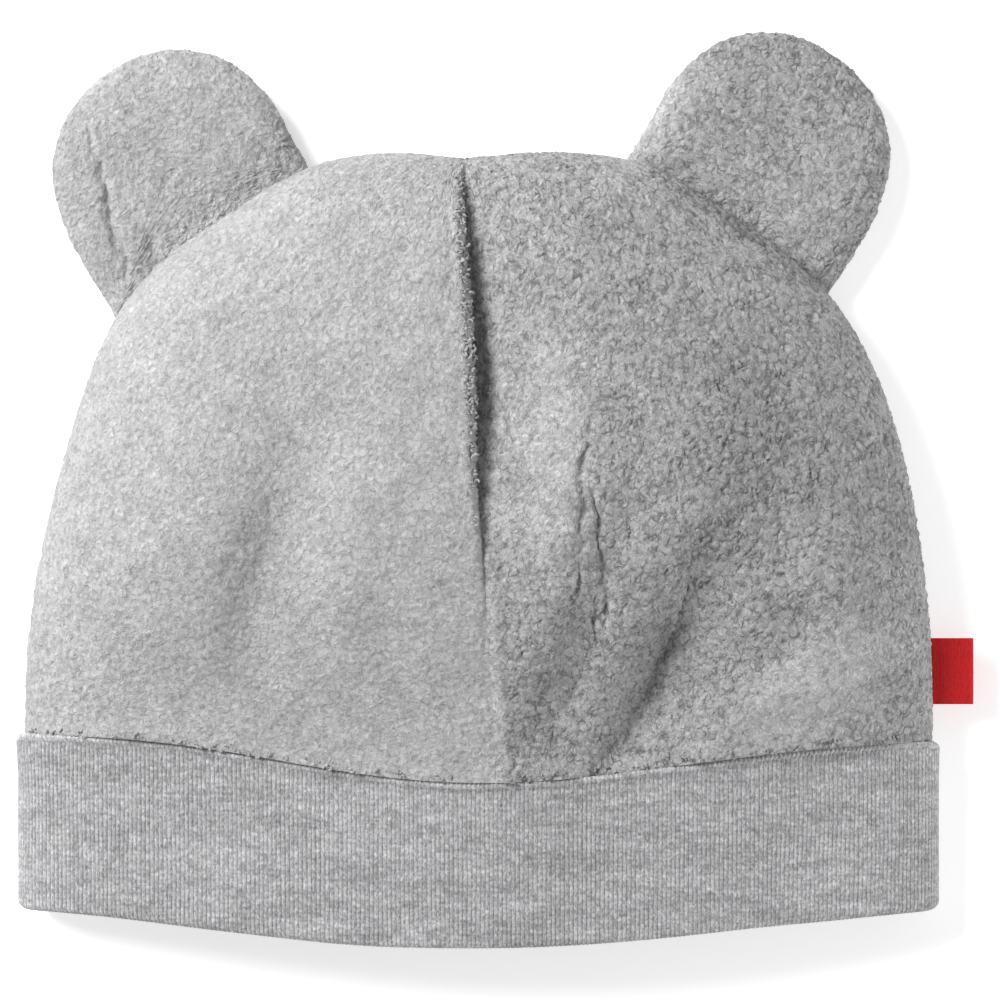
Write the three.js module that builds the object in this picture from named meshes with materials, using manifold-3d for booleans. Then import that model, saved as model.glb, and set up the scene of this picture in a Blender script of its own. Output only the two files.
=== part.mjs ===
// Baby hat with two round ears, lying on its back on a table with its front up.
// X runs across the hat, Y runs from the mouth to the top of the crown, and Z is up.
// Left and right are as seen from above. All sizes are in millimetres.
//
// The crown is four fleece panels: two in front that meet at a middle seam, and two behind.
// A seam over the top joins front and back, and holds the ears and the side label.
// A folded jersey band closes the crown's lower edge and leaves the mouth open.

import * as THREE from "three";
import { mergeVertices } from "three/addons/utils/BufferGeometryUtils.js";
import Module from "manifold-3d";

// Crown sizes.
const crownHalfWidth = 93.5; // from the middle to the side seam, at the band
const crownHeight = 119.5; // from the band's ends to the seam over the top
const crownRise = 37; // highest part of the front above the table
const fleeceThickness = 2.4;
const sideSeamHeight = 6; // where front and back panels meet, above the table
const crownEdgeRoll = 11; // how far in from the side seam the back panels leave the table

// Seams of the crown.
const seamGap = 0.3; // left between sewn pieces
const seamPinch = 1.3; // how far the middle seam draws the fleece in, beside the fold
const foldDepth = 7; // deepest part of the fold along the middle seam
const foldLipWidth = 2.4; // left of the seam, where the fleece rolls over it
const foldSlopeWidth = 6.5; // right of the seam, where the fleece climbs out
const bandPinchDepth = 1.6; // how far the band seam draws the fleece in
const bandPinchWidth = 2.6;

// Band sizes.
const bandProud = 1.5; // how far it stands out beyond the crown at each side
const bandThickness = 2.4; // two layers of jersey, folded at the mouth
const bandHeight = 36.5; // at its two ends
const bandSeamRise = 24.5; // front of the band above the table, at the crown
const mouthRise = 20.5; // the same at the mouth
const bandSeamSag = 8.4; // how much lower the band seam lies in the middle of the front
const mouthSag = 6.9; // the same for the mouth's edge
const bandSeamDrop = 1.6; // the right end of the band seam lies this much lower
const bandEdgeRoll = 9;
const bandHalfWidth = crownHalfWidth + bandProud;

// Ear sizes.
const earRadius = 23.7;
const earSeamHeight = 4; // its rim, where front and back layers meet, above the table
const earPuff = 5.2; // how far the front rises above its rim
const earEdgeRoll = 6;
const earHollow = 1.2; // the middle of the ear lies this much below the roll round it
const earRootDip = 1.8; // how far the crown's seam presses the ear's front down
const earRootWidth = 5;
const leftEarStandOff = 15.6; // from the side seam to the ear's middle
const rightEarStandOff = 16.7;
const earSeamGap = 0.3; // between an ear's front and back

// Label sizes.
const labelWidth = 13.6;
const labelReach = 8.7; // beyond the side seam
const labelTape = 0.5; // thickness of the tape
const labelFold = 0.5; // space between its two layers
const labelUp = 13; // its middle, above the band's end

// How round the front is from side to side: 2 is an ellipse, more is squarer.
const domeShoulder = 2.5;
const domeEdge = 2.1;

// How sharply the band seam and the mouth's edge hang towards their middle.
const bandSeamSharpness = { left: 3, right: 2 };
const mouthSharpness = { left: 1.6, right: 1.6 };

// The side seam seen from above, from the band to the top. Across is a share of crownHalfWidth
// and up a share of crownHeight. It starts at the band's end and ends where the middle seam does.
const SIDE_SEAM = [
  { leftAcross: 0.993, leftUp: 0.143, rightAcross: 0.996, rightUp: 0.143 },
  { leftAcross: 0.977, leftUp: 0.247, rightAcross: 0.985, rightUp: 0.247 },
  { leftAcross: 0.952, leftUp: 0.35, rightAcross: 0.967, rightUp: 0.35 },
  { leftAcross: 0.92, leftUp: 0.453, rightAcross: 0.942, rightUp: 0.453 },
  { leftAcross: 0.881, leftUp: 0.557, rightAcross: 0.905, rightUp: 0.557 },
  { leftAcross: 0.834, leftUp: 0.66, rightAcross: 0.85, rightUp: 0.66 },
  { leftAcross: 0.773, leftUp: 0.747, rightAcross: 0.78, rightUp: 0.747 },
  { leftAcross: 0.68, leftUp: 0.825, rightAcross: 0.67, rightUp: 0.83 },
  { leftAcross: 0.565, leftUp: 0.89, rightAcross: 0.54, rightUp: 0.905 },
  { leftAcross: 0.435, leftUp: 0.957, rightAcross: 0.41, rightUp: 0.972 },
  { leftAcross: 0.33, leftUp: 0.992, rightAcross: 0.31, rightUp: 1.0 },
  { leftAcross: 0.18, leftUp: 1.007, rightAcross: 0.14, rightUp: 1.008 },
];

// The middle seam of the front, from below the band seam to the top. Up and across are shares as
// above, and fold is the share of foldDepth by which the seam lies sunk between its two panels.
const MIDDLE_SEAM = [
  { up: -0.09, across: 0.041, fold: 0.05 },
  { up: 0.05, across: 0.033, fold: 0.05 },
  { up: 0.2, across: 0.02, fold: 0.1 },
  { up: 0.32, across: 0.014, fold: 0.3 },
  { up: 0.45, across: 0.009, fold: 0.75 },
  { up: 0.62, across: 0.003, fold: 1.0 },
  { up: 0.8, across: -0.016, fold: 0.85 },
  { up: 0.92, across: -0.033, fold: 0.4 },
  { up: 0.996, across: -0.03, fold: 0.1 },
];

// Dents and puffs of the crown's front. Length, width and across are shares of crownHalfWidth, up of
// crownHeight and rise of crownRise. Lean is in degrees, and turns the top of the form to the right.
const FRONT_FORMS = [
  { name: "left valley", across: -0.44, up: 0.33, length: 0.27, width: 0.085, lean: 15, rise: -0.085 },
  { name: "left puff", across: -0.66, up: 0.3, length: 0.3, width: 0.14, lean: 14, rise: 0.06 },
  { name: "middle ridge", across: 0.19, up: 0.32, length: 0.32, width: 0.085, lean: 15, rise: 0.07 },
  { name: "right valley", across: 0.46, up: 0.15, length: 0.27, width: 0.1, lean: 26, rise: -0.2 },
  { name: "right puff", across: 0.8, up: 0.2, length: 0.25, width: 0.13, lean: 10, rise: 0.09 },
  { name: "upper right puff", across: 0.52, up: 0.6, length: 0.2, width: 0.18, lean: -20, rise: 0.04 },
];

// An ear's outline about its middle. The angle is from its tip, and positive towards the middle of
// the hat. Reach is a share of earRadius. The last rows lie behind the side seam and are cut off.
const EAR_OUTLINE = [
  { angle: -137, reach: 1.5 },
  { angle: -125, reach: 1.26 },
  { angle: -110, reach: 1.09 },
  { angle: -90, reach: 1.01 },
  { angle: -60, reach: 0.99 },
  { angle: -30, reach: 0.966 },
  { angle: 0, reach: 0.966 },
  { angle: 30, reach: 1.0 },
  { angle: 60, reach: 1.045 },
  { angle: 90, reach: 1.066 },
  { angle: 110, reach: 1.11 },
  { angle: 125, reach: 1.25 },
  { angle: 138, reach: 1.48 },
  { angle: 180, reach: 1.1 },
];

// Where each ear sits: along is a share of the side seam's length from the band to the top.
const EARS = [
  { name: "left", side: -1, along: 0.676, standOff: leftEarStandOff },
  { name: "right", side: 1, along: 0.677, standOff: rightEarStandOff },
];

// How finely each surface is divided.
const FRONT_STEPS = { across: 17, up: 20 };
const BACK_STEPS = { across: 9, up: 12 };
const BAND_STEPS = { front: 40, back: 20, down: 4, fold: 3 };
const EAR_STEPS = { round: 34, out: 5 };
const OUTLINE_SAMPLES = 160;

// Helpers for numbers.

const clamp01 = (t) => Math.min(1, Math.max(0, t));
const mix = (a, b, t) => a + (b - a) * t;
const smooth = (t) => t * t * (3 - 2 * t);
const bothEndsDense = (s) => 0.5 * (1 - Math.cos(Math.PI * s));
const steps = (n) => Array.from({ length: n + 1 }, (_, i) => i / n);
const bell = (distance, width) => Math.exp(-((distance / width) ** 2));

// A smooth curve through one column of a table, read by another column that only grows.
function tableCurve(rows, input, output) {
  const slopeAt = (i) => {
    const before = rows[Math.max(0, i - 1)];
    const after = rows[Math.min(rows.length - 1, i + 1)];
    return (after[output] - before[output]) / (after[input] - before[input]);
  };
  return (value) => {
    let i = 0;
    while (i < rows.length - 2 && value > rows[i + 1][input]) i += 1;
    const span = rows[i + 1][input] - rows[i][input];
    const t = clamp01((value - rows[i][input]) / span);
    const eased = smooth(t);
    const start = t * (1 - t) * (1 - t) * span * slopeAt(i);
    const end = t * t * (t - 1) * span * slopeAt(i + 1);
    return mix(rows[i][output], rows[i + 1][output], eased) + start + end;
  };
}

// Height of a dome at a share of the way from its middle to its edge: 1 in the middle, 0 at the edge.
const domeFall = (share) => (1 - clamp01(share) ** domeShoulder) ** (1 / domeEdge);

// Height share of an edge that rolls up off the table: 0 inside the roll, 1 at the outline.
function rollShare(distanceFromEdge, roll) {
  const t = clamp01(1 - distanceFromEdge / roll);
  return 1 - Math.sqrt(1 - t * t);
}

// Seams as curves.

const seamAcross = tableCurve(MIDDLE_SEAM, "up", "across");
const seamFold = tableCurve(MIDDLE_SEAM, "up", "fold");
const middleSeamX = (y) => crownHalfWidth * seamAcross(y / crownHeight);

// The band seam and the mouth's edge are lowest in the middle of the front. share runs from -1 to 1.
function sagShape(share, sharpness) {
  const power = mix(sharpness.left, sharpness.right, (share + 1) / 2);
  return Math.cos((Math.PI / 2) * clamp01(Math.abs(share))) ** power;
}
const bandSeamDropAt = (share) => (bandSeamDrop * (share + 1)) / 2;
const bandSeamY = (share, sag) => -sag * sagShape(share, bandSeamSharpness) - bandSeamDropAt(share);
const mouthY = (share, sag) => -bandHeight - sag * sagShape(share, mouthSharpness);

// The top of the middle seam, where all four panels meet.
function topPoint() {
  const top = MIDDLE_SEAM[MIDDLE_SEAM.length - 1];
  return new THREE.Vector3(top.across * crownHalfWidth, top.up * crownHeight, 0);
}

// One side's seam as a curve in plan, from the band to the top. side is -1 on the left, 1 on the right.
function sideSeamCurve(side) {
  const [across, up] = side < 0 ? ["leftAcross", "leftUp"] : ["rightAcross", "rightUp"];
  const points = SIDE_SEAM.map(
    (row) => new THREE.Vector3(side * row[across] * crownHalfWidth, row[up] * crownHeight, 0),
  );
  const start = new THREE.Vector3(side * crownHalfWidth, bandSeamY(side, 0) + seamGap / 2, 0);
  return new THREE.CatmullRomCurve3([start, ...points, topPoint()], false, "centripetal");
}

const SIDE_SEAMS = new Map([-1, 1].map((side) => [side, sideSeamCurve(side)]));

// How far the outline lies from the middle of the band seam, by angle from the X axis.
function outlineReach() {
  const rows = [];
  for (const side of [1, -1]) {
    const points = SIDE_SEAMS.get(side).getSpacedPoints(OUTLINE_SAMPLES);
    for (const p of side > 0 ? points : points.slice(0, -1).reverse()) {
      rows.push({ angle: Math.atan2(Math.max(p.y, 0), p.x), reach: Math.hypot(p.x, Math.max(p.y, 0)) });
    }
  }
  return (x, y) => {
    const angle = Math.atan2(y, x);
    let low = 0;
    let high = rows.length - 1;
    while (high - low > 1) {
      const middle = (low + high) >> 1;
      if (rows[middle].angle > angle) high = middle;
      else low = middle;
    }
    const span = rows[high].angle - rows[low].angle || 1;
    return mix(rows[low].reach, rows[high].reach, clamp01((angle - rows[low].angle) / span));
  };
}

const reachTo = outlineReach();

// Distance of a plan point from the middle of the band seam, and of the outline beyond it.
function polarOf(x, y) {
  if (y <= 0) return { distance: Math.abs(x), reach: crownHalfWidth };
  return { distance: Math.hypot(x, y), reach: reachTo(x, y) };
}

// Heights of the crown. inset is 0 on the outside and the fleece's thickness on the inside.

function dentsAndPuffs(x, y) {
  let rise = 0;
  for (const form of FRONT_FORMS) {
    const dx = x - form.across * crownHalfWidth;
    const dy = y - form.up * crownHeight;
    const lean = THREE.MathUtils.degToRad(form.lean);
    const along = dx * Math.sin(lean) + dy * Math.cos(lean);
    const aside = dx * Math.cos(lean) - dy * Math.sin(lean);
    const spread = bell(along, form.length * crownHalfWidth) * bell(aside, form.width * crownHalfWidth);
    rise += form.rise * crownRise * spread;
  }
  return rise;
}

// The inside follows the fold in a wider curve, so the fleece keeps its thickness.
function middleSeamDepth(x, y, inset) {
  const aside = x - middleSeamX(y);
  const width = aside < 0 ? foldLipWidth : foldSlopeWidth;
  const fold = foldDepth * Math.max(0, seamFold(y / crownHeight));
  return fold * bell(aside, width + inset) + seamPinch * bell(aside, foldLipWidth + inset);
}

function crownFrontHeight(x, y, inset) {
  const { distance, reach } = polarOf(x, y);
  const fall = domeFall(distance / (reach - inset));
  const climb = smooth(clamp01((y + bandSeamSag) / (0.45 * crownHeight)));
  const rise = mix(bandSeamRise + bandPinchDepth / 2, crownRise, climb);
  const base = sideSeamHeight + seamGap / 2;
  const bandPinch = bandPinchDepth * bell(y - bandSeamY(x / crownHalfWidth, bandSeamSag), bandPinchWidth);
  const relief = dentsAndPuffs(x, y) - middleSeamDepth(x, y, inset) - bandPinch;
  return base + (rise - inset - base + relief) * fall;
}

function crownBackHeight(x, y, inset) {
  const { distance, reach } = polarOf(x, y);
  const edge = sideSeamHeight - seamGap / 2;
  return mix(inset, edge, rollShare(reach - inset - distance, crownEdgeRoll));
}

// Turning grids of points into closed solids.

function geometryOfTriangles(corners) {
  const positions = new Float32Array(corners.flatMap((p) => [p.x, p.y, p.z]));
  const geometry = new THREE.BufferGeometry();
  geometry.setAttribute("position", new THREE.BufferAttribute(positions, 3));
  const merged = mergeVertices(geometry, 1e-4);
  const index = [];
  const old = merged.index.array;
  for (let i = 0; i < old.length; i += 3) {
    const [a, b, c] = [old[i], old[i + 1], old[i + 2]];
    if (a !== b && b !== c && c !== a) index.push(a, b, c);
  }
  merged.setIndex(index);
  merged.computeVertexNormals();
  return merged;
}

// Triangles of a grid of rows. A row that closes on itself repeats its first point at its end.
function gridTriangles(rows, flipped) {
  const corners = [];
  for (let i = 0; i + 1 < rows.length; i += 1) {
    for (let j = 0; j + 1 < rows[i].length; j += 1) {
      const [a, b, c, d] = [rows[i][j], rows[i][j + 1], rows[i + 1][j + 1], rows[i + 1][j]];
      corners.push(...(flipped ? [a, c, b, a, d, c] : [a, b, c, a, c, d]));
    }
  }
  return corners;
}

// A wall between an outer and an inner grid of the same size, closed along the grids' four edges.
function wallGeometry(outer, inner, flipped) {
  const last = outer.length - 1;
  const end = outer[0].length - 1;
  const column = (grid, j) => grid.map((row) => row[j]);
  return geometryOfTriangles([
    ...gridTriangles(outer, flipped),
    ...gridTriangles(inner, !flipped),
    ...gridTriangles([inner[0], outer[0]], flipped),
    ...gridTriangles([outer[last], inner[last]], flipped),
    ...gridTriangles([column(outer, 0), column(inner, 0)], flipped),
    ...gridTriangles([column(inner, end), column(outer, end)], flipped),
  ]);
}

function fabricMesh(name, geometry, colour) {
  const material = new THREE.MeshStandardMaterial({ color: colour, roughness: 1, metalness: 0 });
  const mesh = new THREE.Mesh(geometry, material);
  mesh.name = name;
  return mesh;
}

// Crown panels. Each runs from the middle seam out to the side seam, and from the band to the top.

// A plan grid of one side's panel. middleX gives the middle seam, sag how low the band seam hangs.
function panelGrid(side, count, middleX, sag, inset, heightAt) {
  const curve = SIDE_SEAMS.get(side);
  const top = topPoint().y;
  const middleLow = bandSeamY(middleX(-sag) / crownHalfWidth, sag) + seamGap / 2;
  return steps(count.up).map((v) => {
    const edge = curve.getPointAt(v);
    const { distance, reach } = polarOf(edge.x, edge.y);
    edge.multiplyScalar((reach - inset) / distance);
    const middleY = mix(middleLow, top - inset, v);
    const middle = new THREE.Vector3(middleX(middleY) + (side * seamGap) / 2, middleY, 0);
    const cornerLow = curve.getPointAt(0);
    return steps(count.across).map((s) => {
      const u = bothEndsDense(s);
      const x = mix(middle.x, v === 1 ? middle.x : edge.x, u);
      const straightLow = mix(middleLow, cornerLow.y, u);
      const lowX = mix(middleX(middleLow), side * (crownHalfWidth - inset), u);
      const seamLow = bandSeamY(lowX / crownHalfWidth, sag) + seamGap / 2;
      const y = mix(middle.y, v === 1 ? middle.y : edge.y, u) + (1 - v) ** 2 * (seamLow - straightLow);
      return new THREE.Vector3(x, y, heightAt(x, y, inset));
    });
  });
}

function crownPanel(side, isFront) {
  const sag = isFront ? bandSeamSag : 0;
  const count = isFront ? FRONT_STEPS : BACK_STEPS;
  const middleX = isFront ? middleSeamX : () => topPoint().x;
  const heightAt = isFront ? crownFrontHeight : crownBackHeight;
  const outer = panelGrid(side, count, middleX, sag, 0, heightAt);
  const inner = panelGrid(side, count, middleX, sag, fleeceThickness, heightAt);
  return wallGeometry(outer, inner, isFront ? side < 0 : side > 0);
}

// The band: one wall round the mouth, folded at its lower edge.

function bandHeightAt(share, down, inset, isFront) {
  const edge = sideSeamHeight;
  if (isFront) {
    const rise = mix(bandSeamRise, mouthRise, down);
    return edge + (rise - inset - edge) * domeFall(Math.abs(share));
  }
  const halfWidth = bandHalfWidth - inset;
  return mix(inset, edge, rollShare(halfWidth * (1 - Math.abs(share)), bandEdgeRoll));
}

function bandPoint(turn, down, beyond, inset) {
  const isFront = turn <= 1;
  const share = -Math.cos(Math.PI * turn);
  const x = share * (bandHalfWidth - inset);
  const top = bandSeamY(share, isFront ? bandSeamSag : 0) - seamGap / 2;
  const mouth = mouthY(share, isFront ? mouthSag : 0) + bandThickness / 2;
  return new THREE.Vector3(x, mix(top, mouth, down) - beyond, bandHeightAt(share, down, inset, isFront));
}

function bandGeometry() {
  const down = steps(BAND_STEPS.down);
  const bend = steps(BAND_STEPS.fold).slice(1, -1).map((t) => Math.PI * t);
  const half = bandThickness / 2;
  const profile = [
    ...down.map((d) => ({ down: d, beyond: 0, inset: 0 })),
    ...bend.map((a) => ({ down: 1, beyond: half * Math.sin(a), inset: half * (1 - Math.cos(a)) })),
    ...down.map((d) => ({ down: 1 - d, beyond: 0, inset: bandThickness })),
  ];
  const turns = [...steps(BAND_STEPS.front), ...steps(BAND_STEPS.back).slice(1).map((t) => 1 + t)];
  const rows = [...profile, profile[0]].map((row) =>
    turns.map((turn) => bandPoint(turn === 2 ? 0 : turn, row.down, row.beyond, row.inset)),
  );
  return geometryOfTriangles(gridTriangles(rows, true));
}

// Cutting with manifold-3d: the ears and the label end at the crown's side seam.

const wasm = await Module();
wasm.setup();

function solidOf(geometry) {
  const bare = geometry.clone();
  bare.deleteAttribute("normal");
  bare.deleteAttribute("uv");
  const merged = mergeVertices(bare, 1e-4);
  return new wasm.Manifold(
    new wasm.Mesh({
      numProp: 3,
      vertProperties: merged.attributes.position.array,
      triVerts: new Uint32Array(merged.index.array),
    }),
  );
}

function geometryOf(solid) {
  const mesh = solid.getMesh();
  const geometry = new THREE.BufferGeometry();
  geometry.setAttribute("position", new THREE.BufferAttribute(mesh.vertProperties, 3));
  geometry.setIndex(new THREE.BufferAttribute(mesh.triVerts, 1));
  geometry.computeVertexNormals();
  return geometry;
}

// The space inside the crown's outline and a seam gap round it, as a tall block.
function crownBlock() {
  const ring = [1, -1].flatMap((side) => {
    const points = SIDE_SEAMS.get(side).getSpacedPoints(OUTLINE_SAMPLES / 4);
    return side > 0 ? points : points.slice(0, -1).reverse();
  });
  const shape = new THREE.Shape(
    ring.map((p) => {
      const grown = 1 + seamGap / Math.hypot(p.x, p.y);
      return new THREE.Vector2(p.x * grown, p.y * grown);
    }),
  );
  const tall = 4 * crownRise;
  const block = new THREE.ExtrudeGeometry(shape, { depth: tall, bevelEnabled: false });
  return solidOf(block.translate(0, 0, -tall / 2));
}

const CROWN_BLOCK = crownBlock();

// Ears: each is two fleece layers that meet at a rim seam, front above back.

const earOutline = new THREE.CatmullRomCurve3(
  EAR_OUTLINE.map(({ angle, reach }) => {
    const turn = THREE.MathUtils.degToRad(angle);
    return new THREE.Vector3(reach * earRadius * Math.sin(turn), reach * earRadius * Math.cos(turn), 0);
  }),
  true,
);

function earHeight(share, distanceFromEdge, fromRoot, inset, isFront) {
  if (!isFront) {
    const edge = earSeamHeight - earSeamGap / 2;
    return mix(inset, edge, rollShare(distanceFromEdge, earEdgeRoll));
  }
  const dip = earHollow * bell(share, 0.6) + earRootDip * bell(fromRoot, earRootWidth);
  return earSeamHeight + earSeamGap / 2 + (earPuff - inset - dip) * domeFall(share ** 1.6);
}

// Rings of points from the ear's middle to its rim, in the ear's own plan: Y points to its tip.
function earGrid(standOff, inset, isFront) {
  const spaced = earOutline.getSpacedPoints(EAR_STEPS.round);
  const rim = [...spaced.slice(0, -1), spaced[0]];
  return steps(EAR_STEPS.out).map((s) => {
    const share = Math.sin((Math.PI / 2) * s);
    return rim.map((p) => {
      const reach = p.length() - inset;
      const scale = (share * reach) / p.length();
      const height = earHeight(share, reach * (1 - share), p.y * scale + standOff, inset, isFront);
      return new THREE.Vector3(p.x * scale, p.y * scale, height);
    });
  });
}

// Where an ear's middle lies, and the turn that points its tip away from the crown.
function earPlacement(ear) {
  const curve = SIDE_SEAMS.get(ear.side);
  const seat = curve.getPointAt(ear.along);
  const tangent = curve.getTangentAt(ear.along);
  const away = new THREE.Vector3(ear.side * Math.abs(tangent.y), Math.abs(tangent.x), 0);
  return {
    middle: seat.addScaledVector(away, ear.standOff),
    turn: Math.atan2(away.y, away.x) - Math.PI / 2,
  };
}

function earLayer(ear, isFront) {
  const rim = (grid) => grid[grid.length - 1];
  const outer = earGrid(ear.standOff, 0, isFront);
  const inner = earGrid(ear.standOff, fleeceThickness, isFront);
  const geometry = geometryOfTriangles([
    ...gridTriangles(outer, !isFront),
    ...gridTriangles(inner, isFront),
    ...gridTriangles([rim(outer), rim(inner)], !isFront),
  ]);
  const { middle, turn } = earPlacement(ear);
  if (ear.side > 0) mirror(geometry);
  geometry.rotateZ(turn).translate(middle.x, middle.y, 0);
  return geometryOf(solidOf(geometry).subtract(CROWN_BLOCK));
}

// Turns a geometry into its mirror image across X, with its faces still pointing out.
function mirror(geometry) {
  geometry.scale(-1, 1, 1);
  const index = geometry.index.array;
  for (let i = 0; i < index.length; i += 3) {
    [index[i + 1], index[i + 2]] = [index[i + 2], index[i + 1]];
  }
}

// Label: a strip of tape folded in two, with its ends in the right side seam.

function labelGeometry() {
  const radius = labelTape + labelFold / 2;
  const seam = SIDE_SEAMS.get(1).getSpacedPoints(OUTLINE_SAMPLES);
  const near = seam.filter((p) => Math.abs(p.y - labelUp) <= labelWidth / 2);
  const seamX = Math.max(...near.map((p) => p.x));
  const root = Math.min(...near.map((p) => p.x)) - labelFold;
  const bendX = seamX + labelReach - radius;
  const tape = new THREE.Shape();
  tape.moveTo(root, -radius);
  tape.lineTo(bendX, -radius);
  tape.absarc(bendX, 0, radius, -Math.PI / 2, Math.PI / 2, false);
  tape.lineTo(root, radius);
  tape.lineTo(root, labelFold / 2);
  tape.lineTo(bendX, labelFold / 2);
  tape.absarc(bendX, 0, labelFold / 2, Math.PI / 2, -Math.PI / 2, true);
  tape.lineTo(root, -labelFold / 2);
  tape.closePath();
  const strip = new THREE.ExtrudeGeometry(tape, { depth: labelWidth, bevelEnabled: false, curveSegments: 6 });
  strip.rotateX(Math.PI / 2);
  strip.translate(0, labelUp + labelWidth / 2, sideSeamHeight);
  return geometryOf(solidOf(strip).subtract(CROWN_BLOCK));
}

// The hat, with its origin on the table under the middle of its bounding box.

const FLEECE = 0xb7b7b9;
const JERSEY = 0xaaaaac;
const LABEL_RED = 0xb8201c;

const hat = new THREE.Group();
for (const { name, side } of EARS) {
  hat.add(fabricMesh(`crown_front_${name}`, crownPanel(side, true), FLEECE));
  hat.add(fabricMesh(`crown_back_${name}`, crownPanel(side, false), FLEECE));
}
hat.add(fabricMesh("band", bandGeometry(), JERSEY));
for (const ear of EARS) {
  hat.add(fabricMesh(`ear_front_${ear.name}`, earLayer(ear, true), FLEECE));
  hat.add(fabricMesh(`ear_back_${ear.name}`, earLayer(ear, false), FLEECE));
}
hat.add(fabricMesh("side_label", labelGeometry(), LABEL_RED));

const box = new THREE.Box3().setFromObject(hat);
const middle = box.getCenter(new THREE.Vector3());
hat.position.set(-middle.x, -middle.y, -box.min.z);

const part = new THREE.Group();
part.add(hat);

export default part;
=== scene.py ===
# Baby hat with two round ears: curly grey fleece, a ribbed jersey band and a red woven label.
# Sizes are in millimetres, in the hat's own plan: X across, Y from the mouth to the top, Z up.
# The plan's origin lies between the band's ends, and placed() moves points into the frame.

import math

import bmesh
import bpy
import numpy as np
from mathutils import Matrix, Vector


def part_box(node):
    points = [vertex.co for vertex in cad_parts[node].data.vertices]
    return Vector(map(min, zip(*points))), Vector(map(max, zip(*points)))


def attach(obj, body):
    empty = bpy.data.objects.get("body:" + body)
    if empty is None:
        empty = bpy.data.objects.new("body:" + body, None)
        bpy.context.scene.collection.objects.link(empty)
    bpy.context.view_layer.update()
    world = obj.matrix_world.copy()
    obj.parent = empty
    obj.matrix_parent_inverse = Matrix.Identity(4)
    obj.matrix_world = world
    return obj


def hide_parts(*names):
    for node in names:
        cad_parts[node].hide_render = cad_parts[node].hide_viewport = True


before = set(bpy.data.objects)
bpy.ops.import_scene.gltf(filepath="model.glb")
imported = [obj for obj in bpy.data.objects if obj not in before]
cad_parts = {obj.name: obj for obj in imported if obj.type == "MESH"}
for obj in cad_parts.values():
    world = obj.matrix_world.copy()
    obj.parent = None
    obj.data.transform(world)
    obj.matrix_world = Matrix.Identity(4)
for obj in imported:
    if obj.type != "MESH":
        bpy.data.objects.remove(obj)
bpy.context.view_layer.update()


def table(columns, rows):
    """Rows of values as dictionaries by the columns' names."""
    return [dict(zip(columns, row)) for row in rows]


SIDE_NAMES = {-1: "left", 1: "right"}
FACE_NAMES = {True: "front", False: "back"}

# Columns of the forms and of the patches of painted light and shade on the pile. Places are shares of the
# crown's half width and height, and a lean is in degrees to the right.
FORM = ("name", "at", "length", "width", "lean", "rise")
PATCH = ("name", "at", "length", "width", "lean", "tone")

# Sizes of the solids that the pieces stand for.
CROWN_HALF_WIDTH = 93.5
CROWN_HEIGHT = 119.5
CROWN_RISE = 37.0
CROWN_CLIMB = 0.45  # the share of its height over which the front rises from the band
FLEECE_THICKNESS = 2.4
SIDE_SEAM_HEIGHT = 6.0
CROWN_EDGE_ROLL = 11.0
SEAM_GAP = 0.3
SHOWN_GAP = -0.06  # the outer faces meet at a seam and overlap by this
SEAM_PINCH = 1.3
FOLD_DEPTH = 7.0
FOLD_LIP_WIDTH = 2.4
FOLD_SLOPE_WIDTH = 6.5
# The fold in these meshes is deeper than in the solids, with a fuller lip.
FOLD_SHOWN = {
    "lip": 0.8,
    "wander": 3.4,
    "behind_lip": {"depth": 0.4, "aside": 3.3, "width": 1.1},
    "steep": {"depth": 4.0, "width": 4.5},
    "slack": {"depth": 4.8, "width": 14.0},
}
SEAM_PINCH_SHOWN = 0.4
SEAM_RIDGE = {"rise": 0.8, "aside": 1.9, "width": 1.3}  # the seam's allowance shows below the fold
BAND_PINCH_DEPTH = 1.6
BAND_PINCH_SHOWN = -0.4
BAND_PINCH_WIDTH = 2.6
BAND_HALF_WIDTH = 95.0
BAND_THICKNESS = 2.4
BAND_HEIGHT = 36.5
BAND_SEAM_RISE = 24.5
MOUTH_RISE = 20.5
BAND_SEAM_SAG = 8.4
MOUTH_SAG = 6.9
BAND_SEAM_DROP = 1.6
BAND_EDGE_ROLL = 9.0
BAND_SEAM_SHARPNESS = (3.0, 2.0)
MOUTH_SHARPNESS = (1.6, 1.6)
EAR_RADIUS = 23.7
EAR_SEAM_HEIGHT = 4.0
EAR_PUFF = 5.2
EAR_EDGE_ROLL = 6.0
EAR_HOLLOW = 1.2
EAR_HOLLOW_WIDTH = 0.6
EAR_SHOULDER = 1.6
EAR_ROOT_DIP = 1.0
EAR_ROOT_WIDTH = 5.0
LABEL_WIDTH = 13.6
LABEL_REACH = 8.7
LABEL_TAPE = 0.5
LABEL_FOLD = 0.5
LABEL_UP = 12.7
LABEL_WAVE = 0.25
DOME_SHOULDER = 2.5
DOME_EDGE = 2.1

# The side seam from above, as shares of the crown's half width and height.
SIDE_SEAM = table(("left", "right"), [
    ((0.993, 0.143), (0.996, 0.143)),
    ((0.977, 0.247), (0.985, 0.247)),
    ((0.952, 0.35), (0.967, 0.35)),
    ((0.92, 0.453), (0.942, 0.453)),
    ((0.881, 0.557), (0.905, 0.557)),
    ((0.834, 0.66), (0.85, 0.66)),
    ((0.773, 0.747), (0.78, 0.747)),
    ((0.68, 0.825), (0.67, 0.83)),
    ((0.565, 0.887), (0.54, 0.902)),
    ((0.435, 0.952), (0.41, 0.966)),
    ((0.33, 0.986), (0.31, 0.992)),
    ((0.18, 0.999), (0.14, 1.0)),
])

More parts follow.
